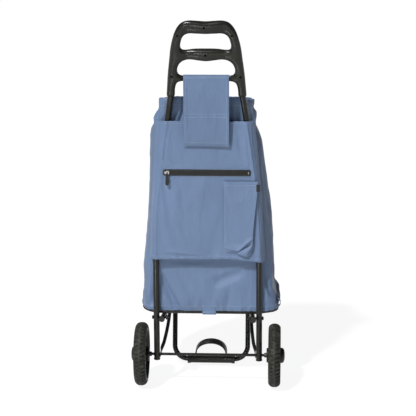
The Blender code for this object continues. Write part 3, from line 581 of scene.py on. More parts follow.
def bag_folds(x, y, z):
    """Folds of the resting bag, outward in metres, before the cloth settles."""
    push = 0.0
    near = smooth_step(0.050, 0.020, y)
    if near > 0.0:
        low = smooth_step(0.36, 0.30, z)
        soft = 0.0026 * bump(x, -0.050, 0.060) + 0.0016 * bump(x, 0.060, 0.050)
        soft -= 0.0010 * bump(x, 0.012, 0.024)
        push += near * low * smooth_step(0.195, 0.225, z) * soft
        push = add_folds(push, x, z, BAG_FOLDS, near)
    if x > 0.09:
        for middle, lean, depth, width in ((0.030, 0.05, 0.0055, 0.0060), (0.052, -0.03, -0.0050, 0.0065),
                                           (0.082, 0.06, 0.0058, 0.0085), (0.118, -0.05, -0.0052, 0.010),
                                           (0.160, 0.08, 0.0044, 0.011), (0.205, -0.06, -0.0038, 0.012)):
            centre = middle + lean * (z - 0.45) + 0.006 * math.sin(17.0 * z + middle * 90)
            push += depth * bump(y, centre, width) * smooth_step(0.200, 0.270, z) * smooth_step(0.672, 0.62, z)
    if x < -0.09:
        for middle, lean, depth, width in ((0.058, -0.05, 0.0022, 0.011), (0.120, 0.06, -0.0028, 0.014),
                                           (0.180, -0.04, 0.0026, 0.013)):
            centre = middle + lean * (z - 0.45)
            push += depth * bump(y, centre, width) * smooth_step(0.215, 0.300, z) * smooth_step(0.660, 0.60, z)
    return push


def clear_of_tubes(grid, room=0.0094):
    """Push points straight out of the uprights."""
    for row in grid:
        for point in row:
            side = -1 if point[0] < 0 else 1
            lean = -0.13 * max(point[2] - 0.676, 0.0)
            x, y = point[0] - side * upright_x(point[2]), point[1] - AXLE_Y - lean
            far = math.hypot(x, y)
            if far < room:
                point[0] += x / far * (room - far)
                point[1] += y / far * (room - far)
    return grid


def settle_back(grid):
    """Keep the bag's back clear of the two uprights and under the sleeve."""
    for row in grid:
        for point in row:
            away = abs(abs(point[0]) - upright_x(point[2]))
            limit = 0.0092
            if point[2] < 0.315:
                limit -= 0.0060 * smooth_step(0.010, 0.100, away)
            point[1] = max(point[1], AXLE_Y + limit)
    return grid


def build_bag():
    heights = [0.1900, 0.1925, 0.1960, 0.2010]
    while heights[-1] < 0.7020:
        heights.append(heights[-1] + 0.0087)
    heights[-1] = 0.7120
    rows = []
    for z in heights:
        row = []
        for x, y in bag_outline(z):
            lift = (rim_height(x, y) - 0.712) * smooth_step(0.655, 0.712, z)
            row.append(at(x, y, z + lift))
        rows.append(row)
    grid = np.array(rows)
    normals = grid_normals(grid, True)
    for i, row in enumerate(grid):
        for j, point in enumerate(row):
            x, y, z = point[0], point[1] - AXLE_Y, point[2]
            push = bag_folds(x, y, z) + 0.0016 * crumple(x, y, z) * smooth_step(0.195, 0.23, z)
            grid[i, j] = point + normals[i, j] * push * (1 if z < NECK_Z else 0.3)
    level = np.array([[min(z, 0.712)] * grid.shape[1] for z in heights])
    pins = np.where(level < 0.197, 1.0, 0.0) + np.where(level > 0.668, 1.0, 0.0)
    panel = (grid[:, :, 1] < AXLE_Y + 0.02) & (np.abs(grid[:, :, 0]) < 0.118)
    pins = np.where(panel & (level < 0.335), 1.0, pins)
    loose = 0.35 + 0.65 * np.clip(np.abs(grid[:, :, 0]) / 0.14, 0, 1) ** 2
    loose = np.where(panel & (level < 0.36), 0.0, loose)
    grid = relax(grid, True, pins, loose, 0.045, 24, pressure=0.7, cap=0.0110, bending=0.25)
    grid = finer(settle_back(grid), True)
    normals = grid_normals(grid, True)
    columns = grid.shape[1]
    for i, row in enumerate(grid):
        z0 = np.interp(i / 2.0, range(len(heights)), heights)
        gather = bump(z0, NECK_Z, 0.013) + 0.75 * smooth_step(0.684, 0.706, z0)
        spread_down = smooth_step(0.600, 0.672, z0) * smooth_step(0.700, 0.676, z0)
        for j in range(columns):
            x, y, z = row[j][0], row[j][1] - AXLE_Y, row[j][2]
            turn = j / columns
            wave = math.sin(2 * math.pi * (34 * turn + 0.9 * noise.noise((turn * 9, 1.0, 0.0))))
            slow = math.sin(2 * math.pi * (15 * turn + 0.7 * noise.noise((turn * 5, 7.0, 0.0))))
            strength = 0.6 + 0.7 * noise.noise((turn * 11, 4.0, 2.0)) + 0.4 * smooth_step(0.085, 0.112, abs(x))
            push = 0.0046 * gather * wave * strength + 0.0034 * spread_down * slow * strength
            push += 0.0007 * crumple(x * 1.7, y * 1.7, z * 1.7, 5.0) * smooth_step(0.193, 0.205, z)
            hem = bump(z, 0.197, 0.010)
            push += 0.0009 * hem * math.sin(2 * math.pi * (74 * turn + 1.4 * noise.noise((turn * 21, 2.0, 0.0))))
            if y > 0.19 and abs(abs(x) - 0.022) < 0.016 and z0 > 0.675:
                push *= smooth_step(0.007, 0.016, abs(abs(x) - 0.022))
            grid[i, j] = row[j] + normals[i, j] * push
    grid = settle_back(grid)
    # The rim is turned in and sewn down.
    normals = grid_normals(grid, True)
    top, inner = grid[-1], []
    for drop, depth in ((-0.0006, 0.0006), (0.0004, 0.0014), (0.0050, 0.0016), (0.0120, 0.0015)):
        turned = top - normals[-1] * depth
        turned[:, 2] -= drop
        inner.append(turned)
    rows = list(grid) + inner
    bm = grid_mesh(rows, True)
    bm.verts.ensure_lookup_table()
    bm.faces.new([bm.verts[k] for k in reversed(range(columns))])
    made = make("bag_shell", bm, "bag_fabric", ("bag_body", "bag_collar"), smooth=180.0)
    # The inner face takes the dark lining colour, which is partly painted shade.
    thicken(made, BAG_WALL, True, LINING_AND_PAINTED_SHADE)
    # The binding runs round the bag's foot from the back's left end to the right side.
    edge = [Vector(point) for point in grid[3] if point[1] < AXLE_Y + 0.075 and point[0] > -0.121]
    edge.sort(key=lambda point: point.x if point.y < AXLE_Y + 0.044 and point.x < 0.150 else 0.150 + point.y + 0.2)
    path = [(point.x * 0.997, point.y + 0.0022, 0.1908) for point in edge]
    make("base_binding", swept(path, ring(0.0030, 12, 0.7)), "black_plastic")
    for name, level in (("rim_stitches", -3), ("base_stitches", 7)):
        seam = on_cloth(grid, normals, [(level, k) for k in range(columns)])
        stitches(name, seam + seam[:1])


# ---------------------------------------------------------------- sleeve over the uprights
SLEEVE_ROWS = ((0.325, 0.1450, 0.1450), (0.400, 0.1420, 0.1400), (0.500, 0.1375, 0.1330),
               (0.600, 0.1315, 0.1240), (0.682, 0.1272, 0.1165))
SLEEVE_FACE = -0.0108
SLEEVE_EDGE = 0.0094


def sleeve_point(across, part):
    """Across runs -1 to 1 between the sewn edges, part 0 to 1 from hem to top."""
    hem = 0.3325 - 0.0012 * smooth_step(0.35, 0.95, -across) - 0.0078 * smooth_step(0.30, 0.98, across)
    z = hem + (0.682 - hem) * part
    left, right = interpolate(SLEEVE_ROWS, z)
    tube = upright_x(z)
    side = -1 if across < 0 else 1
    half = left if across < 0 else right
    flat = 0.80
    share = abs(across)
    if share <= flat:
        x = tube * share / flat
        y = SLEEVE_FACE
        slack = math.sin(math.pi * share / flat) ** 2
        y += 0.0030 * slack * smooth_step(0.05, 0.25, part) * smooth_step(0.62, 0.45, part)
        y -= 0.0026 * bump(share, flat, 0.030)
    else:
        out = (share - flat) / (1 - flat)
        x = tube + (half - tube) * out
        y = SLEEVE_FACE - 0.0026 * bump(share, flat, 0.030) + (SLEEVE_EDGE - SLEEVE_FACE) * out ** 2.3
    return side * x, y, z


SLEEVE_FOLDS = (      # start and end in x and z, width, height
    ((-0.100, 0.352), (-0.020, 0.345), 0.0034, 0.0020), ((-0.110, 0.343), (-0.010, 0.3385), 0.0026, -0.0018),
    ((-0.105, 0.366), (-0.060, 0.358), 0.0060, -0.0012), ((0.030, 0.520), (-0.020, 0.420), 0.0200, -0.0024),
    ((-0.010, 0.530), (-0.060, 0.440), 0.0160, 0.0022), ((0.070, 0.680), (0.086, 0.590), 0.0070, -0.0018),
    ((0.092, 0.680), (0.100, 0.580), 0.0050, 0.0016), ((-0.098, 0.680), (-0.106, 0.600), 0.0050, -0.0014),
    ((0.000, 0.342), (0.105, 0.335), 0.0035, 0.0013), ((-0.085, 0.470), (-0.055, 0.545), 0.0120, 0.0011),
    ((-0.060, 0.420), (-0.020, 0.500), 0.0140, -0.0010), ((-0.030, 0.660), (-0.070, 0.600), 0.0090, 0.0010),
)


def build_sleeve():
    columns, levels = 73, 61
    rows = [[at(*sleeve_point(-1 + 2 * j / (columns - 1), i / (levels - 1))) for j in range(columns)]
            for i in range(levels)]
    grid = np.array(rows)
    share = np.abs(np.linspace(-1, 1, columns))[None, :] * np.ones((levels, 1))
    height = grid[:, :, 2]
    pins = np.where(share > 0.97, 1.0, 0.0) + np.where(np.abs(share - 0.80) < 0.03, 0.9, 0.0)
    pins += np.where(height > 0.676, 1.0, 0.0)
    pins += np.where((np.abs(height - 0.5535) < 0.011) & (share < 0.80), 1.0, 0.0)
    pins += np.where((grid[:, :, 0] > 0.035) & (height < 0.545) & (share < 0.86), 0.8, 0.0)
    grid = relax(grid, False, np.minimum(pins, 1.0), np.ones_like(pins), 0.012, 18, cap=0.0045,
                 bending=0.5, weight=0.12)
    grid = finer(grid)
    normals = grid_normals(grid)
    for i, row in enumerate(grid):
        for j, point in enumerate(row):
            x, z = point[0], point[2]
            push = add_folds(0.0, x, z, SLEEVE_FOLDS)
            push += 0.00045 * crumple(x * 1.4, 0.4, z * 1.4, 9.0)
            push += 0.0006 * bump(z, 0.334, 0.006) * math.sin(x * 300 + 2.0 * noise.noise((x * 30, 0.0, 0.0)))
            if abs(z - 0.5535) < 0.013 and abs(x) < 0.112:
                push *= 0.05
            grid[i, j] = point + normals[i, j] * push
            limit = AXLE_Y - (0.0117 if abs(z - 0.5535) < 0.035 or x > 0.038 and z < 0.545 else 0.0140)
            if z > 0.605 and abs(x) < 0.062:
                limit = AXLE_Y - 0.0118
            grid[i, j, 1] = max(grid[i, j, 1], limit)
    grid = clear_of_tubes(grid)
    normals = grid_normals(grid)
    # The hem is turned under.
    under = []
    for rise, depth in ((0.0004, 0.0010), (0.0045, 0.0013), (0.0090, 0.0012)):
        row = grid[0] - normals[0] * depth
        row[:, 2] += rise - 0.0006
        under.insert(0, row)
    made = make("sleeve_sheet", grid_mesh(under + list(grid)), "bag_fabric", ("back_sleeve",), smooth=180.0)
    thicken(made, 0.0006)
    last, sewn = grid.shape[0] - 1, []
    for name, level in (("sleeve_hem_stitches", 3), ("sleeve_top_stitches", last - 2)):
        sewn.append(stitches(name, on_cloth(grid, normals, [(level, k) for k in range(3, grid.shape[1] - 3)])))
    for name, column in (("sleeve_left_stitches", 4), ("sleeve_right_stitches", grid.shape[1] - 5)):
        sewn.append(stitches(name, on_cloth(grid, normals, [(k, column) for k in range(grid.shape[0])])))


# ---------------------------------------------------------------- flap and straps
CROSSBAR_Y, CROSSBAR_Z = -0.022525, 0.789344
FLAP_HALF = 0.0555
FLAP_RADIUS = 0.0088
FLAP_SEAM_Z = 0.698


def flap_path():
    """Centre line of the flap from behind the crossbar, over it and down."""
    path = []
    for k in range(15):
        angle = math.radians(4 + 178 * k / 14)
        path.append((CROSSBAR_Y + FLAP_RADIUS * math.cos(angle), CROSSBAR_Z + FLAP_RADIUS * math.sin(angle)))
    start_y, start_z = path[-1]
    for k in range(1, 43):
        part = k / 42
        z = start_z + (0.6205 - start_z) * part
        sag = -0.0016 * math.sin(math.pi * part) + 0.0010 * math.sin(2 * math.pi * part)
        path.append((start_y + (-0.0152 - start_y) * part + sag, z))
    return path


def build_flap():
    path = flap_path()
    columns = 29
    rows = [[at(FLAP_HALF * (-1 + 2 * j / (columns - 1)), y, z) for j in range(columns)] for y, z in reversed(path)]
    grid = np.array(rows)
    levels = len(rows)
    index = np.arange(levels)[:, None] * np.ones((1, columns))
    pins = np.where(index > levels - 18, 1.0, 0.0) + np.where(index < 1, 1.0, 0.0)
    grid = relax(grid, False, pins, np.ones_like(pins), 0.010, 16, cap=0.0030, bending=0.8, weight=0.15)
    grid = finer(grid)
    normals = grid_normals(grid)
    for i, row in enumerate(grid):
        for j, point in enumerate(row):
            x, z = point[0], point[2]
            hanging = smooth_step(0.785, 0.760, z)
            push = hanging * (0.0005 * crumple(x * 1.2, 0.7, z * 1.2, 3.0) + 0.0007 * math.sin(z * 60 + x * 14))
            edge = FLAP_HALF - abs(x)
            push += 0.00055 * smooth_step(0.0085, 0.0070, edge) * smooth_step(0.775, 0.765, z)
            push += 0.0007 * smooth_step(FLAP_SEAM_Z + 0.0010, FLAP_SEAM_Z - 0.0008, z)
            push += 0.0006 * smooth_step(0.6330, 0.6318, z)
            grid[i, j] = point + normals[i, j] * push
    normals = grid_normals(grid)
    made = make("flap_sheet", grid_mesh(grid), "bag_fabric", ("handle_flap",), body="flap", smooth=180.0)
    thicken(made, 0.0013)
    height = grid[:, grid.shape[1] // 2, 2]
    front = range(2 * 42)

    def level_at(z):
        return min(front, key=lambda k: abs(height[k] - z))

    for name, z in (("flap_seam_stitches", FLAP_SEAM_Z - 0.0035), ("flap_seam_upper_stitches", FLAP_SEAM_Z + 0.0035),
                    ("flap_hem_stitches", 0.6300)):
        level = level_at(z)
        path = on_cloth(grid, normals, [(level, k) for k in range(2, grid.shape[1] - 2)])
        stitches(name, path, "flap")
    for name, column in (("flap_left_stitches", 3), ("flap_right_stitches", grid.shape[1] - 4)):
        path = on_cloth(grid, normals, [(k, column) for k in front])
        stitches(name, path, "flap")


def strip(name, path, low_x, high_x, thickness, slot, replaced, columns=9, ripple=0.0004, body="root"):
    """A band of fabric whose side view is a path of (y, z)."""
    rows = []
    for index, (y, z) in enumerate(path):
        row = []
        for j in range(columns):
            x = low_x + (high_x - low_x) * j / (columns - 1)
            shift = ripple * noise.noise((x * 60, y * 60, z * 60 + index * 0.1))
            row.append(at(x, y + shift, z))
        rows.append(row)
    made = make(name, grid_mesh(finer(np.array(rows))), slot, replaced, body, 180.0)
    thicken(made, thickness, False)
    return made


def build_straps():
    strap = [(0.0093, 0.612), (0.0091, 0.628), (0.0090, 0.645), (0.0087, 0.660), (0.0050, 0.685), (0.0004, 0.710),
             (-0.0046, 0.735), (-0.0092, 0.757), (-0.0118, 0.7700), (-0.0122, 0.7765)]
    made = strip("hanger_strap_sheet", strap, -0.054, 0.054, 0.0013, "bag_fabric",
                 ("hanger_strap",), 27, 0.0016)
    hook = [(-0.0133 - 0.00005 * k, 0.6290 + 0.0040 * k) for k in range(6)]
    made = strip("hook_strip", hook, -0.040, 0.040, 0.0010, "zip_black",
                 ("flap_hook_strip",), 17, 0.0, "flap")
    loop = [(0.0135 - 0.0048 * math.cos(math.radians(a)), 0.187 + 0.0048 * math.sin(math.radians(a)))
            for a in range(62, -245, -18)]
    loop = [(0.0098, 0.2040), (0.0100, 0.1985)] + loop[1:-4]
    made = strip("base_tab_sheet", loop, -0.0140, 0.0200, 0.0011, "bag_fabric",
                 ("base_tab",), 9, 0.0003)
    rows = []
    for k in range(15):
        angle = math.radians(-88 + 176 * k / 14)
        x, z = 0.1750 + 0.0070 * math.cos(angle), 0.2045 + 0.0100 * math.sin(angle)
        rows.append([at(x, 0.0460 + 0.0120 * j / 5 + 0.0006 * math.sin(k), z) for j in range(6)])
    made = make("side_loop_band", grid_mesh(finer(np.array(rows))), "bag_fabric", ("side_loop",), smooth=180.0)
    thicken(made, 0.0012, False)


# ---------------------------------------------------------------- pocket
POCKET_LEFT = 0.0415
POCKET_TOP = 0.5325
POCKET_FACE = 0.86              # share of the columns in front of the gusset
POCKET_FOLDS = (      # start and end in x and z, width, height
    ((0.046, 0.3640), (0.080, 0.3550), 0.0028, 0.0024), ((0.050, 0.3580), (0.078, 0.3520), 0.0018, -0.0016),
    ((0.046, 0.3780), (0.096, 0.3720), 0.0050, -0.0012), ((0.078, 0.358), (0.110, 0.388), 0.0034, 0.0030),
    ((0.084, 0.357), (0.114, 0.382), 0.0024, -0.0026), ((0.110, 0.500), (0.060, 0.470), 0.0120, 0.0008),
)


def pocket_right(z):
    return 0.1145 + (0.1262 - 0.1145) * smooth_step(0.365, 0.535, z)


def pocket_floor(x):
    """Lower edge of the pocket's face: level, then rising to the right corner."""
    return 0.3505 + 0.0235 * smooth_step(0.0770, 0.1120, x)


def build_pocket():
    columns, levels = 33, 45
    rows = []
    for i in range(levels):
        row = []
        part = i / (levels - 1)
        for j in range(columns):
            share = j / (columns - 1)
            guess = 0.351 + (POCKET_TOP - 0.351) * part
            right = pocket_right(guess)
            if share <= POCKET_FACE:
                x = POCKET_LEFT + (right - POCKET_LEFT) * share / POCKET_FACE
                z = pocket_floor(x) + (POCKET_TOP - pocket_floor(x)) * part
                across = share / POCKET_FACE
                fullness = 0.0056 * across ** 1.6 * smooth_step(1.10, 0.80, part)
                y = -0.0122 - 0.0020 * smooth_step(0.0, 0.10, across) - fullness
                y -= 0.0008 * math.sin(math.pi * across) * math.sin(math.pi * part)
                y += 0.0024 * smooth_step(0.07, 0.0, part) * (1 - 0.6 * across)
            else:
                back = (share - 0.86) / 0.14
                x = right - 0.0070 * math.sin(math.pi / 2 * back) + 0.0010 * math.sin(math.pi * back)
                z = pocket_floor(right) + (POCKET_TOP - pocket_floor(right)) * part
                y = -0.0142 - 0.0056 * smooth_step(1.10, 0.80, part)
                y += (-0.0116 - y) * back
            row.append(at(x, y, z))
        rows.append(row)
    grid = np.array(rows)
    share = np.linspace(0, 1, columns)[None, :] * np.ones((levels, 1))
    pins = np.where((share < 0.04) | (share > 0.84), 1.0, 0.0)
    pins[0, :] = pins[-1, :] = 1.0
    grid = relax(grid, False, pins, np.ones_like(pins), 0.004, 14, cap=0.0016, bending=0.5, weight=0.12)
    grid = finer(grid)
    normals = grid_normals(grid)
    for i, row in enumerate(grid):
        for j, point in enumerate(row):
            x, z = point[0], point[2]
            push = 0.0004 * crumple(x * 1.5, 0.2, z * 1.5, 6.0)
            push = add_folds(push, x, z, POCKET_FOLDS)
            push += 0.0005 * smooth_step(0.5185, 0.5205, z)
            grid[i, j] = point + normals[i, j] * push
    grid = clear_of_tubes(grid, 0.0118)
    normals = grid_normals(grid)
    under = []
    for depth, drop in ((0.0008, 0.0000), (0.0012, 0.0050), (0.0012, 0.0110)):
        row = grid[-1] - normals[-1] * depth
        row[:, 2] -= drop
        under.append(row)
    pocket = make("pocket_sheet", grid_mesh(list(grid) + under), "bag_fabric", ("umbrella_pocket",), smooth=180.0)
    thicken(pocket, 0.0006)
    last = grid.shape[0] - 1
    hem = [(last - 5, k) for k in range(2, int(grid.shape[1] * 0.84))]
    sewn = [stitches("pocket_hem_stitches", on_cloth(grid, normals, hem)),
            stitches("pocket_side_stitches", on_cloth(grid, normals, [(k, 2) for k in range(last)]))]
    # The gusset's lower corner is folded across itself.
    corner = [((0.0735, 0.3500), (0.0960, 0.3415), (0.1110, 0.3470)),
              ((0.0850, 0.3570), (0.0985, 0.3520), (0.1125, 0.3560)),
              ((0.0990, 0.3660), (0.1070, 0.3640), (0.1145, 0.3650)),
              ((0.1100, 0.3745), (0.1135, 0.3745), (0.1160, 0.3740))]
    depths = ((-0.0150, -0.0178, -0.0124), (-0.0168, -0.0212, -0.0136), (-0.0180, -0.0220, -0.0138),
              (-0.0190, -0.0206, -0.0140))
    rows = [[at(x, y, z) for (x, z), y in zip(line, depth)] for line, depth in zip(corner, depths)]
    folded = make("pocket_corner_fold", grid_mesh(finer(finer(finer(np.array(rows))))), "bag_fabric", smooth=180.0)
    thicken(folded, 0.0007, False)
    rows = []
    for k in range(11):
        angle = math.pi * (k / 10 - 0.5)
        rows.append([at(0.1215 + 0.0085 * math.cos(angle), -0.0192 - 0.0011 * math.sin(angle), z)
                     for z in (0.5085, 0.5143, 0.5202, 0.5260)])
    label = make("label_loop", grid_mesh(finer(np.array(rows))), "zip_black", ("label_tag",), smooth=180.0)
    thicken(label, 0.0005, False)


# ---------------------------------------------------------------- zip
ZIP_Z = 0.5535
ZIP_HALF = 0.1080


def rounded_outline(low_x, high_x, low_z, high_z, radius, steps=6):
    points = []
    for x, z, turn in ((high_x - radius, low_z + radius, -90), (high_x - radius, high_z - radius, 0),
                       (low_x + radius, high_z - radius, 90), (low_x + radius, low_z + radius, 180)):
        for k in range(steps + 1):
            angle = math.radians(turn + 90 * k / steps)
            points.append((x + radius * math.cos(angle), z + radius * math.sin(angle)))
    return points


def plate(bm, outline, front, back, bevel=0.0003):
    """A flat body with softened edges; outline in x and z, depth in y from the axle."""
    centre = Vector((sum(x for x, _ in outline) / len(outline), sum(z for _, z in outline) / len(outline)))
    rings = []
    for y, inset in ((back, bevel), (back - bevel, 0.0), (front + bevel, 0.0), (front, bevel)):
        ring = []
        for x, z in outline:
            away = Vector((x, z)) - centre
            scaled = centre + away * (1 - inset / max(away.length, 1e-6))
            ring.append(bm.verts.new(at(scaled.x, y, scaled.y)))
        rings.append(ring)
    for first, second in zip(rings, rings[1:]):
        bridge(bm, first, second)
    cap_ends(bm, rings)


def add_box(bm, low, high):
    corners = [[[bm.verts.new((x, y, z)) for z in (low[2], high[2])] for y in (low[1], high[1])]
               for x in (low[0], high[0])]
    for axis in range(3):
        for end in range(2):
            loop = []
            for first, second in ((0, 0), (0, 1), (1, 1), (1, 0)):
                index = [first, second]
                index.insert(axis, end)
                loop.append(corners[index[0]][index[1]][index[2]])
            bm.faces.new(loop if (end == 1) == (axis != 1) else list(reversed(loop)))


def build_zip():
    bm = bmesh.new()
    plate(bm, rounded_outline(-ZIP_HALF, ZIP_HALF, ZIP_Z - 0.0076, ZIP_Z + 0.0076, 0.0045), -0.0125, -0.0118)
    make("zip_band", bm, "zip_black", ("zip_tape",))
    bm = bmesh.new()
    count = int(2 * (ZIP_HALF - 0.006) / 0.0012)
    for k in range(count):
        x = -ZIP_HALF + 0.006 + 0.0012 * k
        shift = 0.0009 if k % 2 else -0.0009
        add_box(bm, at(x, -0.0133, ZIP_Z + shift - 0.0016), at(x + 0.0009, -0.0124, ZIP_Z + shift + 0.0016))
    make("zip_coil", bm, "zip_black", material=MATERIALS["black_plastic"])
    bm = bmesh.new()
    for x in (-ZIP_HALF + 0.0045, ZIP_HALF - 0.0060):
        outline = rounded_outline(x - 0.0012, x + 0.0012, ZIP_Z - 0.0030, ZIP_Z + 0.0030, 0.0006, 3)
        plate(bm, outline, -0.0135, -0.0124)
    make("zip_end_stops", bm, "steel")
    for name, z in (("zip_upper_stitches", ZIP_Z + 0.0095), ("zip_lower_stitches", ZIP_Z - 0.0095)):
        stitches(name, [at(x, -0.0119, z) for x in (-ZIP_HALF, ZIP_HALF)])
    x = -0.0975
    bm = bmesh.new()
    plate(bm, [(x + px, ZIP_Z + pz) for px, pz in ((-0.0046, -0.0022), (-0.0020, -0.0044), (0.0030, -0.0044),
                                                   (0.0050, -0.0030), (0.0050, 0.0030), (0.0030, 0.0044),
                                                   (-0.0020, 0.0044), (-0.0046, 0.0022))], -0.0150, -0.0138, 0.0005)
    for k in range(9):
        angle = math.pi * k / 8
        along = 0.0030 * math.cos(angle)
        rise = 0.0014 * math.sin(angle)
        add_box(bm, at(x + along - 0.0006, -0.0158 - 2.1 * rise, ZIP_Z - 0.0012),
                at(x + along + 0.0006, -0.0144 - 2.1 * rise, ZIP_Z + 0.0012))
    make("slider_body", bm, "steel", ("zip_slider",), body="zip_slider_body", material=BRIGHT_STEEL)
    bm = bmesh.new()
    top = ZIP_Z + 0.0020
    outline = [(x - 0.0016, top), (x - 0.0022, top - 0.0060), (x - 0.0036, top - 0.0140), (x - 0.0045, top - 0.0280),
               (x - 0.0036, top - 0.0318), (x - 0.0014, top - 0.0330), (x + 0.0014, top - 0.0330),
               (x + 0.0036, top - 0.0318), (x + 0.0045, top - 0.0280), (x + 0.0036, top - 0.0140),
               (x + 0.0022, top - 0.0060), (x + 0.0016, top)]
    plate(bm, outline, -0.0197, -0.0183, 0.0004)
    for k in range(4):
        z = top - 0.0215 - 0.0022 * k
        plate(bm, rounded_outline(x - 0.0028, x + 0.0028, z - 0.0004, z + 0.0004, 0.0003, 2), -0.0200, -0.0195, 0.0001)
    make("puller_tab", bm, "black_plastic", ("zip_puller",), body="zip_puller_body")


# ---------------------------------------------------------------- tubes and turned parts
def sweep(bm, path, section, closed=False, side=(0.0, 0.0, 1.0)):
    """A body along a path; section(i) gives its outline in the path's own plane."""
    path = [Vector(point) for point in path]
    count = len(path)
    rings = []
    normal = None
    for i, point in enumerate(path):
        before = path[i - 1] if i > 0 or closed else point
        after = path[(i + 1) % count] if i < count - 1 or closed else point
        along = (after - before).normalized()
        if normal is None:
            normal = Vector(side) - along * along.dot(Vector(side))
        else:
            normal = normal - along * along.dot(normal)
        normal.normalize()
        other = along.cross(normal)
        rings.append([bm.verts.new(point + normal * a + other * b) for a, b in section(i)])
    joins = list(zip(rings, rings[1:])) + ([(rings[-1], rings[0])] if closed else [])
    for first, second in joins:
        bridge(bm, first, second)
    if not closed:
        cap_ends(bm, rings)


def swept(path, outline, closed=False, side=(0.0, 0.0, 1.0)):
    """A body of one outline along a path."""
    bm = bmesh.new()
    sweep(bm, path, lambda i: outline, closed, side)
    return bm


def ring(radius, sides=28, squash=1.0):
    return [(radius * math.cos(2 * math.pi * k / sides), radius * squash * math.sin(2 * math.pi * k / sides))
            for k in range(sides)]


def lathe(profile, centre, axis="X", segments=64, shape=None):
    """Turn (along, radius) points; shape(along, radius, angle) may change a radius."""
    bm = bmesh.new()
    rings = []
    for along, radius in profile:
        if radius == 0.0:
            rings.append([bm.verts.new((along, 0.0, 0.0))])
            continue
        row = []
        for k in range(segments):
            angle = 2 * math.pi * k / segments
            here = shape(along, radius, angle) if shape else radius
            row.append(bm.verts.new((along, here * math.cos(angle), here * math.sin(angle))))
        rings.append(row)
    pairs = list(zip(rings, rings[1:]))
    if profile[0][1] > 0.0:
        pairs.append((rings[-1], rings[0]))
    for first, second in pairs:
        if len(first) == len(second):
            bridge(bm, first, second)
            continue
        pole, loop = (first[0], second) if len(first) == 1 else (second[0], first)
        for k in range(segments):
            bm.faces.new((pole, loop[k], loop[(k + 1) % segments]))
    turn = {"X": None, "Y": Matrix.Rotation(math.radians(90), 3, "Z"), "Z": Matrix.Rotation(math.radians(-90), 3, "Y")}
    if turn[axis] is not None:
        bmesh.ops.rotate(bm, verts=bm.verts, matrix=turn[axis])
    bmesh.ops.translate(bm, verts=bm.verts, vec=Vector(centre))
    bmesh.ops.recalc_face_normals(bm, faces=bm.faces)
    return bm


def round_corners(corners, radii, steps=10, closed=False):
    """A path through corners, with arcs in place of them."""
    corners = [Vector(point) for point in corners]
    count = len(corners)
    path = []
    for i, point in enumerate(corners):
        if radii[i] == 0.0 or (not closed and i in (0, count - 1)):
            path.append(point)
            continue
        before = (corners[i - 1] - point).normalized()
        after = (corners[(i + 1) % count] - point).normalized()
        half = before.angle(after) / 2
        cut = radii[i] / math.tan(half)
        centre = point + (before + after).normalized() * (radii[i] / math.sin(half))
        start, end = point + before * cut, point + after * cut
        first, last = start - centre, end - centre
        sweep_angle = first.angle(last)
        for k in range(steps + 1):
            part = k / steps
            path.append(centre + (first * math.sin((1 - part) * sweep_angle) + last * math.sin(part * sweep_angle))
                        / math.sin(sweep_angle))
    return path


SIDES = ((-1, "left"), (1, "right"))
LEAN_START = Vector((0.0, AXLE_Y - LEAN_RADIUS * (1 - math.cos(LEAN)), LEAN_START_Z + LEAN_RADIUS * math.sin(LEAN)))
LEAN_AXIS = Vector((0.0, -math.sin(LEAN), math.cos(LEAN)))
TUBE_IN_HANDLE = 0.054


def build_uprights():
    for side, word in SIDES:
        heights = [0.0682] + [TAPER_START_Z + TAPER_LENGTH * k / 10 for k in range(11)] + [LEAN_START_Z]
        path = [at(side * upright_x(z), 0.0, z) for z in heights]
        for k in range(1, 11):
            angle = LEAN * k / 10
            z = LEAN_START_Z + LEAN_RADIUS * math.sin(angle)
            path.append(at(side * upright_x(z), -LEAN_RADIUS * (1 - math.cos(angle)), z))
        top = LEAN_START + LEAN_AXIS * TUBE_IN_HANDLE
        path.append((side * upright_x(top.z), top.y, top.z))
        bm = swept(path, ring(TUBE_RADIUS, 32), side=(1.0, 0.0, 0.0))
        make(f"{word}_upright_tube", bm, "frame_paint", (f"{word}_upright",))


BASE_RADIUS = 0.0065
ARM_X, ARM_REAR_Y, ARM_Z = 0.1145, -0.016, 0.1775
LEG_X, LEG_TOP_Y, LEG_TOP_Z, LEG_FOOT_Y = 0.0958, 0.205, 0.1745, 0.163
FOOT_RADIUS = 0.012
FOOT_HALF = 0.062


def arm_x(y):
    return ARM_X + (LEG_X - ARM_X) * (y - ARM_REAR_Y) / (LEG_TOP_Y - ARM_REAR_Y)


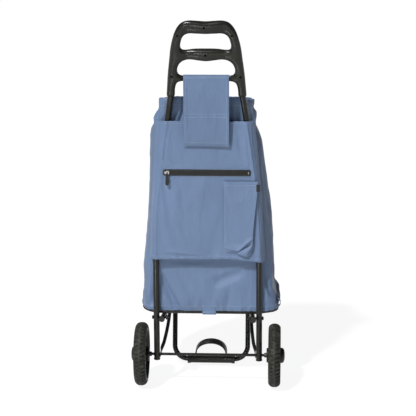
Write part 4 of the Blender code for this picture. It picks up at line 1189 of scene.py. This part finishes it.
def build_base():
    right = [at(ARM_X, ARM_REAR_Y, ARM_Z), at(LEG_X, LEG_TOP_Y, LEG_TOP_Z), at(LEG_X, LEG_FOOT_Y, FOOT_RADIUS)]
    left = [(-x, y, z) for x, y, z in reversed(right)]
    path = round_corners(right + left, [0, 0.030, 0.035, 0.035, 0.030, 0], 12)
    bm = swept(path, ring(BASE_RADIUS))
    make("base_tube_bent", bm, "frame_paint", ("base_tube",))
    corners = [at(x, y, 0.187) for x, y in ((0.1665, 0.0135), (0.1665, 0.268), (-0.1665, 0.268), (-0.1665, 0.0135))]
    bm = swept(round_corners(corners, [0.055] * 4, 14, True), ring(0.003, 16), True)
    make("base_ring_rod", bm, "frame_paint", ("base_ring",))
    for side, word in SIDES:
        low = Vector(at(side * 0.1197, 0.0, AXLE_Z))
        high = Vector(at(side * (arm_x(0.186) + BASE_RADIUS + 0.0020), 0.186, 0.1745))
        shares = [-0.035, -0.020, 0.0, 0.020, 0.035, 0.055, 0.075, 0.10, 0.14, 0.20, 0.30, 0.40, 0.50,
                  0.60, 0.70, 0.80, 0.86, 0.90, 0.925, 0.945, 0.965, 0.98, 1.0, 1.02, 1.035]
        path = []
        for share in shares:
            bow = -0.005 * math.sin(math.pi * min(max(share, 0.0), 1.0))
            bow *= smooth_step(0.08, 0.2, min(share, 1 - share))
            path.append(low.lerp(high, share) + Vector((side * bow, 0.0, 0.0)))

        def section(i):
            inset = min(shares[i], 1 - shares[i])
            flat = 1 - smooth_step(0.035, 0.13, inset)
            past_end = shares[i] < -0.01 or shares[i] > 1.01
            end = smooth_step(0.036, 0.0, abs(inset) + 0.01) if past_end else 1.0
            thin, wide = 0.0045 - 0.0033 * flat, (0.0045 + 0.0015 * flat) * max(end, 0.55)
            points = []
            for k in range(20):
                a, b = math.cos(2 * math.pi * k / 20), math.sin(2 * math.pi * k / 20)
                points.append((thin * math.copysign(abs(a) ** (1 - 0.5 * flat), a), wide * b))
            return points

        bm = bmesh.new()
        sweep(bm, path, section, side=(1.0, 0.0, 0.0))
        make(f"{word}_strut_bar", bm, "frame_paint", (f"{word}_strut",))


def build_foot():
    place = at(0.0, LEG_FOOT_Y, FOOT_RADIUS)
    body = FOOT_RADIUS - 0.0012
    profile = [(-FOOT_HALF, 0.0069), (-FOOT_HALF, 0.0112), (-FOOT_HALF + 0.0008, 0.0120),
               (-FOOT_HALF + 0.0072, 0.0120), (-FOOT_HALF + 0.0084, 0.0114), (-FOOT_HALF + 0.0096, body), (-0.03, body), (0.0, body), (0.03, body),
               (FOOT_HALF - 0.0096, body), (FOOT_HALF - 0.0084, 0.0114), (FOOT_HALF - 0.0072, 0.0120),
               (FOOT_HALF - 0.0008, 0.0120), (FOOT_HALF, 0.0112), (FOOT_HALF, 0.0069)]

    def ribs(along, radius, angle):
        if abs(along) > FOOT_HALF - 0.0098 or radius < 0.010:
            return radius
        return radius - 0.00055 * (0.5 - 0.5 * math.cos(14 * angle)) ** 3

    make("foot_sleeve", lathe(profile, place, segments=112, shape=ribs), "black_plastic", ("stand_foot",))
    path, steps = [], 44
    for k in range(steps + 1):
        turn = math.pi * k / steps
        path.append(at(0.0400 * math.cos(turn), LEG_FOOT_Y, 0.0259 + (0.0610 - 0.0259) * math.sin(turn) ** 0.8))
    path[0] = at(0.0400, LEG_FOOT_Y, 0.0246)
    path[-1] = at(-0.0400, LEG_FOOT_Y, 0.0246)
    outline = [(a, b) for b, a in rounded_outline(-0.0190, 0.0190, -0.0015, 0.0015, 0.0010, 4)]
    bm = swept(path, outline, side=(1.0, 0.0, 0.0))
    make("foot_hoop", bm, "black_plastic", ("stand_hoop",))


# ---------------------------------------------------------------- wheels
WHEEL_X = 0.168
TYRE_HALF = 0.01525
LUGS = 46


def tread(along, radius, angle):
    """Slanted blocks on both shoulders beside a plain centre band."""
    far = abs(along) / TYRE_HALF
    if radius < 0.0725:
        return radius
    hand = 1 if along > 0 else -1
    wave = math.cos(LUGS * angle + 2.6 * far + (0.0 if hand > 0 else math.pi))
    block = smooth_step(-0.35, 0.05, wave)
    depth = 0.0036 * smooth_step(0.20, 0.30, far) * smooth_step(0.0722, 0.0745, radius)
    return radius - depth * (1 - block)


def build_wheels():
    for side, word in SIDES:
        centre = at(side * WHEEL_X, 0.0, AXLE_Z)
        half = [(0.0, 0.0800), (0.0022, 0.0800), (0.0036, 0.07993), (0.0048, 0.0797), (0.0062, 0.0793),
                (0.0076, 0.0788), (0.0090, 0.0781), (0.0104, 0.0772), (0.0118, 0.0761), (0.0130, 0.0748),
                (0.0140, 0.0733), (0.0148, 0.0716), (TYRE_HALF, 0.0700), (0.0151, 0.0688), (0.0140, 0.0680)]
        profile = [(-along, radius) for along, radius in reversed(half)] + half[1:]
        make(f"{word}_tyre_tread", lathe(profile, centre, segments=LUGS * 9, shape=tread), "tyre_rubber",
             (f"{word}_tyre",), body=f"{word}_wheel", smooth=50.0)
        low = WHEEL_X + TYRE_HALF - 0.0006
        cap = [(0.1940, 0.0), (0.1939, 0.0050), (0.1934, 0.0100), (0.1925, 0.0140), (0.1910, 0.0168), (0.1895, 0.0182),
               (0.1880, 0.0190), (low + 0.0012, 0.0195), (low, 0.0195), (low, 0.0166), (0.1900, 0.0150), (0.1910, 0.0)]
        cap = [(side * (along - WHEEL_X), radius) for along, radius in cap]
        make(f"{word}_cap_dome", lathe(cap, centre), "black_plastic", (f"{word}_hub_cap",), body=f"{word}_wheel")
        build_rim(side, word, centre)


def build_rim(side, word, centre):
    """Band with rolled lips, six ribbed spokes and the hub barrel."""
    half = TYRE_HALF
    band = [(-half, 0.0632), (-half, 0.0652), (-half, 0.0668), (-half + 0.0012, 0.0674), (0.0, 0.0670),
            (half - 0.0012, 0.0674), (half, 0.0668), (half, 0.0652), (half, 0.0632), (half - 0.0015, 0.0618),
            (0.0060, 0.0602), (0.0, 0.0598), (-0.0060, 0.0602), (-half + 0.0015, 0.0618)]
    bm = lathe(band, (0, 0, 0), segments=96)
    inner = -0.0200
    barrel = [(side * along, radius) for along, radius in (
        (inner, 0.0042), (inner, 0.0170), (inner + 0.0015, 0.0185), (half - 0.0030, 0.0185), (half - 0.0012, 0.0172),
        (half - 0.0012, 0.0042))]
    other = lathe(barrel, (0, 0, 0), segments=64)
    joined = bpy.data.meshes.new("barrel")
    other.to_mesh(joined)
    other.free()
    bm.from_mesh(joined)
    bpy.data.meshes.remove(joined)
    for k in range(6):
        angle = 2 * math.pi * (k + 0.5) / 6
        out = Vector((0.0, math.cos(angle), math.sin(angle)))
        for thick, wide, low, high in ((0.0078, 0.0125, 0.0178, 0.0612), (0.0190, 0.0028, 0.0178, 0.0612)):
            path = [out * (low + (high - low) * j / 8) for j in range(9)]

            def section(i, thick=thick, wide=wide):
                spread = 1 + 0.55 * (abs(i - 4) / 4) ** 2
                return [(a, b) for a, b in rounded_outline(-thick / 2, thick / 2, -wide * spread / 2,
                                                           wide * spread / 2, min(thick, wide) * 0.3, 2)]

            sweep(bm, path, section, side=(1.0, 0.0, 0.0))
    bmesh.ops.translate(bm, verts=bm.verts, vec=Vector(centre))
    make(f"{word}_rim_spoked", bm, "rim_plastic", (f"{word}_rim",), body=f"{word}_wheel", smooth=35.0)


# ---------------------------------------------------------------- handle
def handle_matrix():
    across = Vector((1.0, 0.0, 0.0))
    made = Matrix((across, LEAN_AXIS, across.cross(LEAN_AXIS))).transposed().to_4x4()
    made.translation = LEAN_START
    return made


HANDLE_OUTLINE = ((0.0, 0.0500), (0.056, 0.0500), (0.0690, 0.0475), (0.0745, 0.0380), (0.0775, 0.0100, True),
                  (0.0968, 0.0100, True), (0.0945, 0.0420), (0.0922, 0.0700), (0.0876, 0.1080), (0.0842, 0.1360),
                  (0.0787, 0.1600), (0.0722, 0.1790), (0.0640, 0.1930), (0.0540, 0.2020), (0.0420, 0.2056),
                  (0.0230, 0.2050), (0.0, 0.2034))
LOWER_OPENING = ((0.0, 0.0635), (0.0560, 0.0635), (0.0660, 0.0660), (0.0697, 0.0740), (0.0680, 0.0880),
                 (0.0600, 0.1000), (0.0500, 0.1055), (0.0380, 0.1072), (0.0190, 0.1048), (0.0, 0.1028))
UPPER_OPENING = ((0.0, 0.1335), (0.0300, 0.1330), (0.0480, 0.1308), (0.0580, 0.1320), (0.0610, 0.1390),
                 (0.0592, 0.1530), (0.0540, 0.1660), (0.0440, 0.1732), (0.0220, 0.1740), (0.0, 0.1732))
HANDLE_CROWN = 0.0150
HANDLE_SCREWS = ((-0.0030, 0.1920), (-0.0665, 0.1715), (0.0635, 0.1720), (-0.0005, 0.1215),
                 (-0.0830, 0.0650), (0.0830, 0.0650))


def smooth_outline(curve, right):
    left = [(-point[0], *point[1:]) for point in reversed(right[1:-1])]
    spline = curve.splines.new("BEZIER")
    points = list(right) + left
    spline.bezier_points.add(len(points) - 1)
    for target, point in zip(spline.bezier_points, points):
        target.co = (point[0], point[1], 0.0)
        target.handle_left_type = target.handle_right_type = "VECTOR" if len(point) > 2 else "AUTO"
    spline.use_cyclic_u = True
    spline.resolution_u = 8


def build_handle():
    curve = bpy.data.curves.new("handle_outline", "CURVE")
    curve.dimensions = "2D"
    curve.fill_mode = "BOTH"
    curve.bevel_depth = 0.0050
    curve.bevel_resolution = 3
    curve.offset = -0.0046
    curve.extrude = 0.0122 - 0.0050
    for outline in (HANDLE_OUTLINE, LOWER_OPENING, UPPER_OPENING):
        smooth_outline(curve, outline)
    holder = linked("handle_blank", curve)
    mesh = evaluated(holder)
    bpy.data.objects.remove(holder, do_unlink=True)
    bm = bmesh.new()
    bm.from_mesh(mesh)
    bmesh.ops.remove_doubles(bm, verts=bm.verts, dist=0.00001)
    bm.to_mesh(mesh)
    bm.free()
    blank = linked("handle_blank", mesh)
    remesh = blank.modifiers.new("even", "REMESH")
    remesh.mode = "VOXEL"
    remesh.voxel_size = 0.0013
    bores = bmesh.new()
    for x, along in HANDLE_SCREWS:
        sweep(bores, [(x, along, 0.0062), (x, along, 0.0200)], lambda i: ring(0.0031, 20), side=(1.0, 0.0, 0.0))
    cutter_mesh = bpy.data.meshes.new("bores")
    bores.to_mesh(cutter_mesh)
    bores.free()
    even = evaluated(blank)
    blank.modifiers.clear()
    blank.data = even
    edge = KDTree(sum(1 for vert in even.vertices if abs(vert.co.z) < 0.0045))
    for index, vert in enumerate(vert for vert in even.vertices if abs(vert.co.z) < 0.0045):
        edge.insert((vert.co.x, vert.co.y, 0.0), index)
    edge.balance()
    for vert in even.vertices:
        x, along, out = vert.co
        inside = min(edge.find((x, along, 0.0))[2] / HANDLE_CROWN, 1.0)
        full = 0.22 + 0.78 * math.sqrt(1 - (1 - inside) ** 2)
        thin = smooth_step(0.0640, 0.0570, abs(x)) * smooth_step(0.0690, 0.0650, along)
        thin *= smooth_step(0.046, 0.048, along)
        if thin > 0.0:
            full *= 1 - 0.52 * thin
        barrel = smooth_step(0.100, 0.112, along) * smooth_step(0.062, 0.040, abs(x))
        full *= 1 - 0.42 * barrel * min((x / 0.052) ** 2, 1.0) + 0.06 * barrel
        if along < 0.046:
            full = full + (0.45 + 0.55 * full - full) * smooth_step(0.046, 0.020, along)
        vert.co.z = out * full
    smooth = blank.modifiers.new("soft", "SMOOTH")
    smooth.factor = 0.5
    smooth.iterations = 36
    softened = evaluated(blank)
    blank.modifiers.clear()
    blank.data = softened
    cutter = linked("bores", cutter_mesh)
    cut = blank.modifiers.new("bores", "BOOLEAN")
    cut.object = cutter
    cut.operation = "DIFFERENCE"
    cut.solver = "EXACT"
    whole = evaluated(blank)
    bpy.data.objects.remove(cutter, do_unlink=True)
    bpy.data.objects.remove(blank, do_unlink=True)
    place = handle_matrix()
    for word, sign in (("rear", 1), ("front", -1)):
        bm = bmesh.new()
        bm.from_mesh(whole)
        cut_edges = bmesh.ops.bisect_plane(
            bm, geom=bm.verts[:] + bm.edges[:] + bm.faces[:], plane_co=(0.0, 0.0, 0.00025 * sign),
            plane_no=(0.0, 0.0, -sign), clear_outer=True)["geom_cut"]
        cut_edges = [part for part in cut_edges if isinstance(part, bmesh.types.BMEdge)]
        bmesh.ops.triangle_fill(bm, use_beauty=True, edges=cut_edges)
        bmesh.ops.recalc_face_normals(bm, faces=bm.faces)
        bmesh.ops.transform(bm, matrix=place, verts=bm.verts)
        make(f"handle_{word}_half", bm, "handle_plastic", (f"handle_{word}_shell",), smooth=45.0)
    for number, (x, along) in enumerate(HANDLE_SCREWS):
        bm = lathe([(0.0052, 0.0), (0.0052, 0.0028), (0.0068, 0.0028), (0.0074, 0.0022), (0.0074, 0.0010),
                    (0.0066, 0.0007), (0.0066, 0.0)], (0, 0, 0), "Z", 20)
        bmesh.ops.translate(bm, verts=bm.verts, vec=Vector((x, along, 0.0)))
        bmesh.ops.transform(bm, matrix=place, verts=bm.verts)
        make(f"handle_screw_head_{number + 1}", bm, "steel", (f"handle_screw_{number + 1}",), material=DARK_SCREW)


# ---------------------------------------------------------------- camera, light, floor
def build_stage():
    scene = bpy.context.scene
    scene.view_settings.view_transform = "Standard"
    scene.view_settings.look = "None"
    aim = Vector((VIEW_SIDE, AXLE_Y, VIEW_HEIGHT))
    back = Vector((math.sin(VIEW_AZIMUTH) * math.cos(VIEW_ELEVATION),
                   -math.cos(VIEW_AZIMUTH) * math.cos(VIEW_ELEVATION), math.sin(VIEW_ELEVATION)))
    data = bpy.data.cameras.new("camera")
    data.lens = LENS
    data.sensor_width = 36.0
    data.clip_end = 100.0
    camera = bpy.data.objects.new("camera", data)
    camera.location = aim + back * VIEW_DISTANCE
    upright = (-back).to_track_quat("-Z", "Y")
    camera.rotation_euler = (upright @ Quaternion((0.0, 0.0, 1.0), VIEW_ROLL)).to_euler()
    scene.collection.objects.link(camera)
    scene.camera = camera

    bm = bmesh.new()
    bmesh.ops.create_grid(bm, x_segments=2, y_segments=2, size=40.0)
    mesh = bpy.data.meshes.new("floor")
    bm.to_mesh(mesh)
    bm.free()
    mesh.materials.append(floor_paint())
    floor = bpy.data.objects.new("floor", mesh)
    scene.collection.objects.link(floor)

    world = bpy.data.worlds.new("studio")
    world.use_nodes = True
    world.node_tree.nodes["Background"].inputs["Color"].default_value = (1.0, 1.0, 1.0, 1.0)
    world.node_tree.nodes["Background"].inputs["Strength"].default_value = 0.05
    scene.world = world
    sun = bpy.data.lights.new("key", "SUN")
    sun.energy = 2.45
    sun.angle = 0.07
    key = bpy.data.objects.new("key", sun)
    key.rotation_euler = Vector((0.32, 0.54, -0.78)).to_track_quat("-Z", "Y").to_euler()
    scene.collection.objects.link(key)
    add_light("left_soft", (-2.4, -2.2, 1.9), 0.40, 3.0)
    add_light("grip_left", (-0.40, -2.6, 0.90), 0.34, 6.0)
    add_light("grip_right", (0.85, -2.6, 0.90), 0.24, 0.9)
    add_light("low_left", (-0.36, -0.80, 0.10), 0.20, 0.9, 0.85)
    add_light("right_soft", (2.2, -2.6, 1.7), 0.30, 0.3)
    add_light("back", (-1.2, 2.6, 2.6), 2.0, 14.0)


def add_light(name, place, size, power, target=0.45):
    data = bpy.data.lights.new(name, "AREA")
    data.shape = "SQUARE"
    data.size = size
    data.energy = power
    made = linked(name, data)
    made.location = place
    made.rotation_euler = (Vector((0.0, 0.0, target)) - Vector(place)).to_track_quat("-Z", "Y").to_euler()


paint_frame_nodes()
build_bag()
build_sleeve()
build_flap()
build_straps()
build_pocket()
build_zip()
build_uprights()
build_base()
build_foot()
build_wheels()
build_handle()
build_stage()
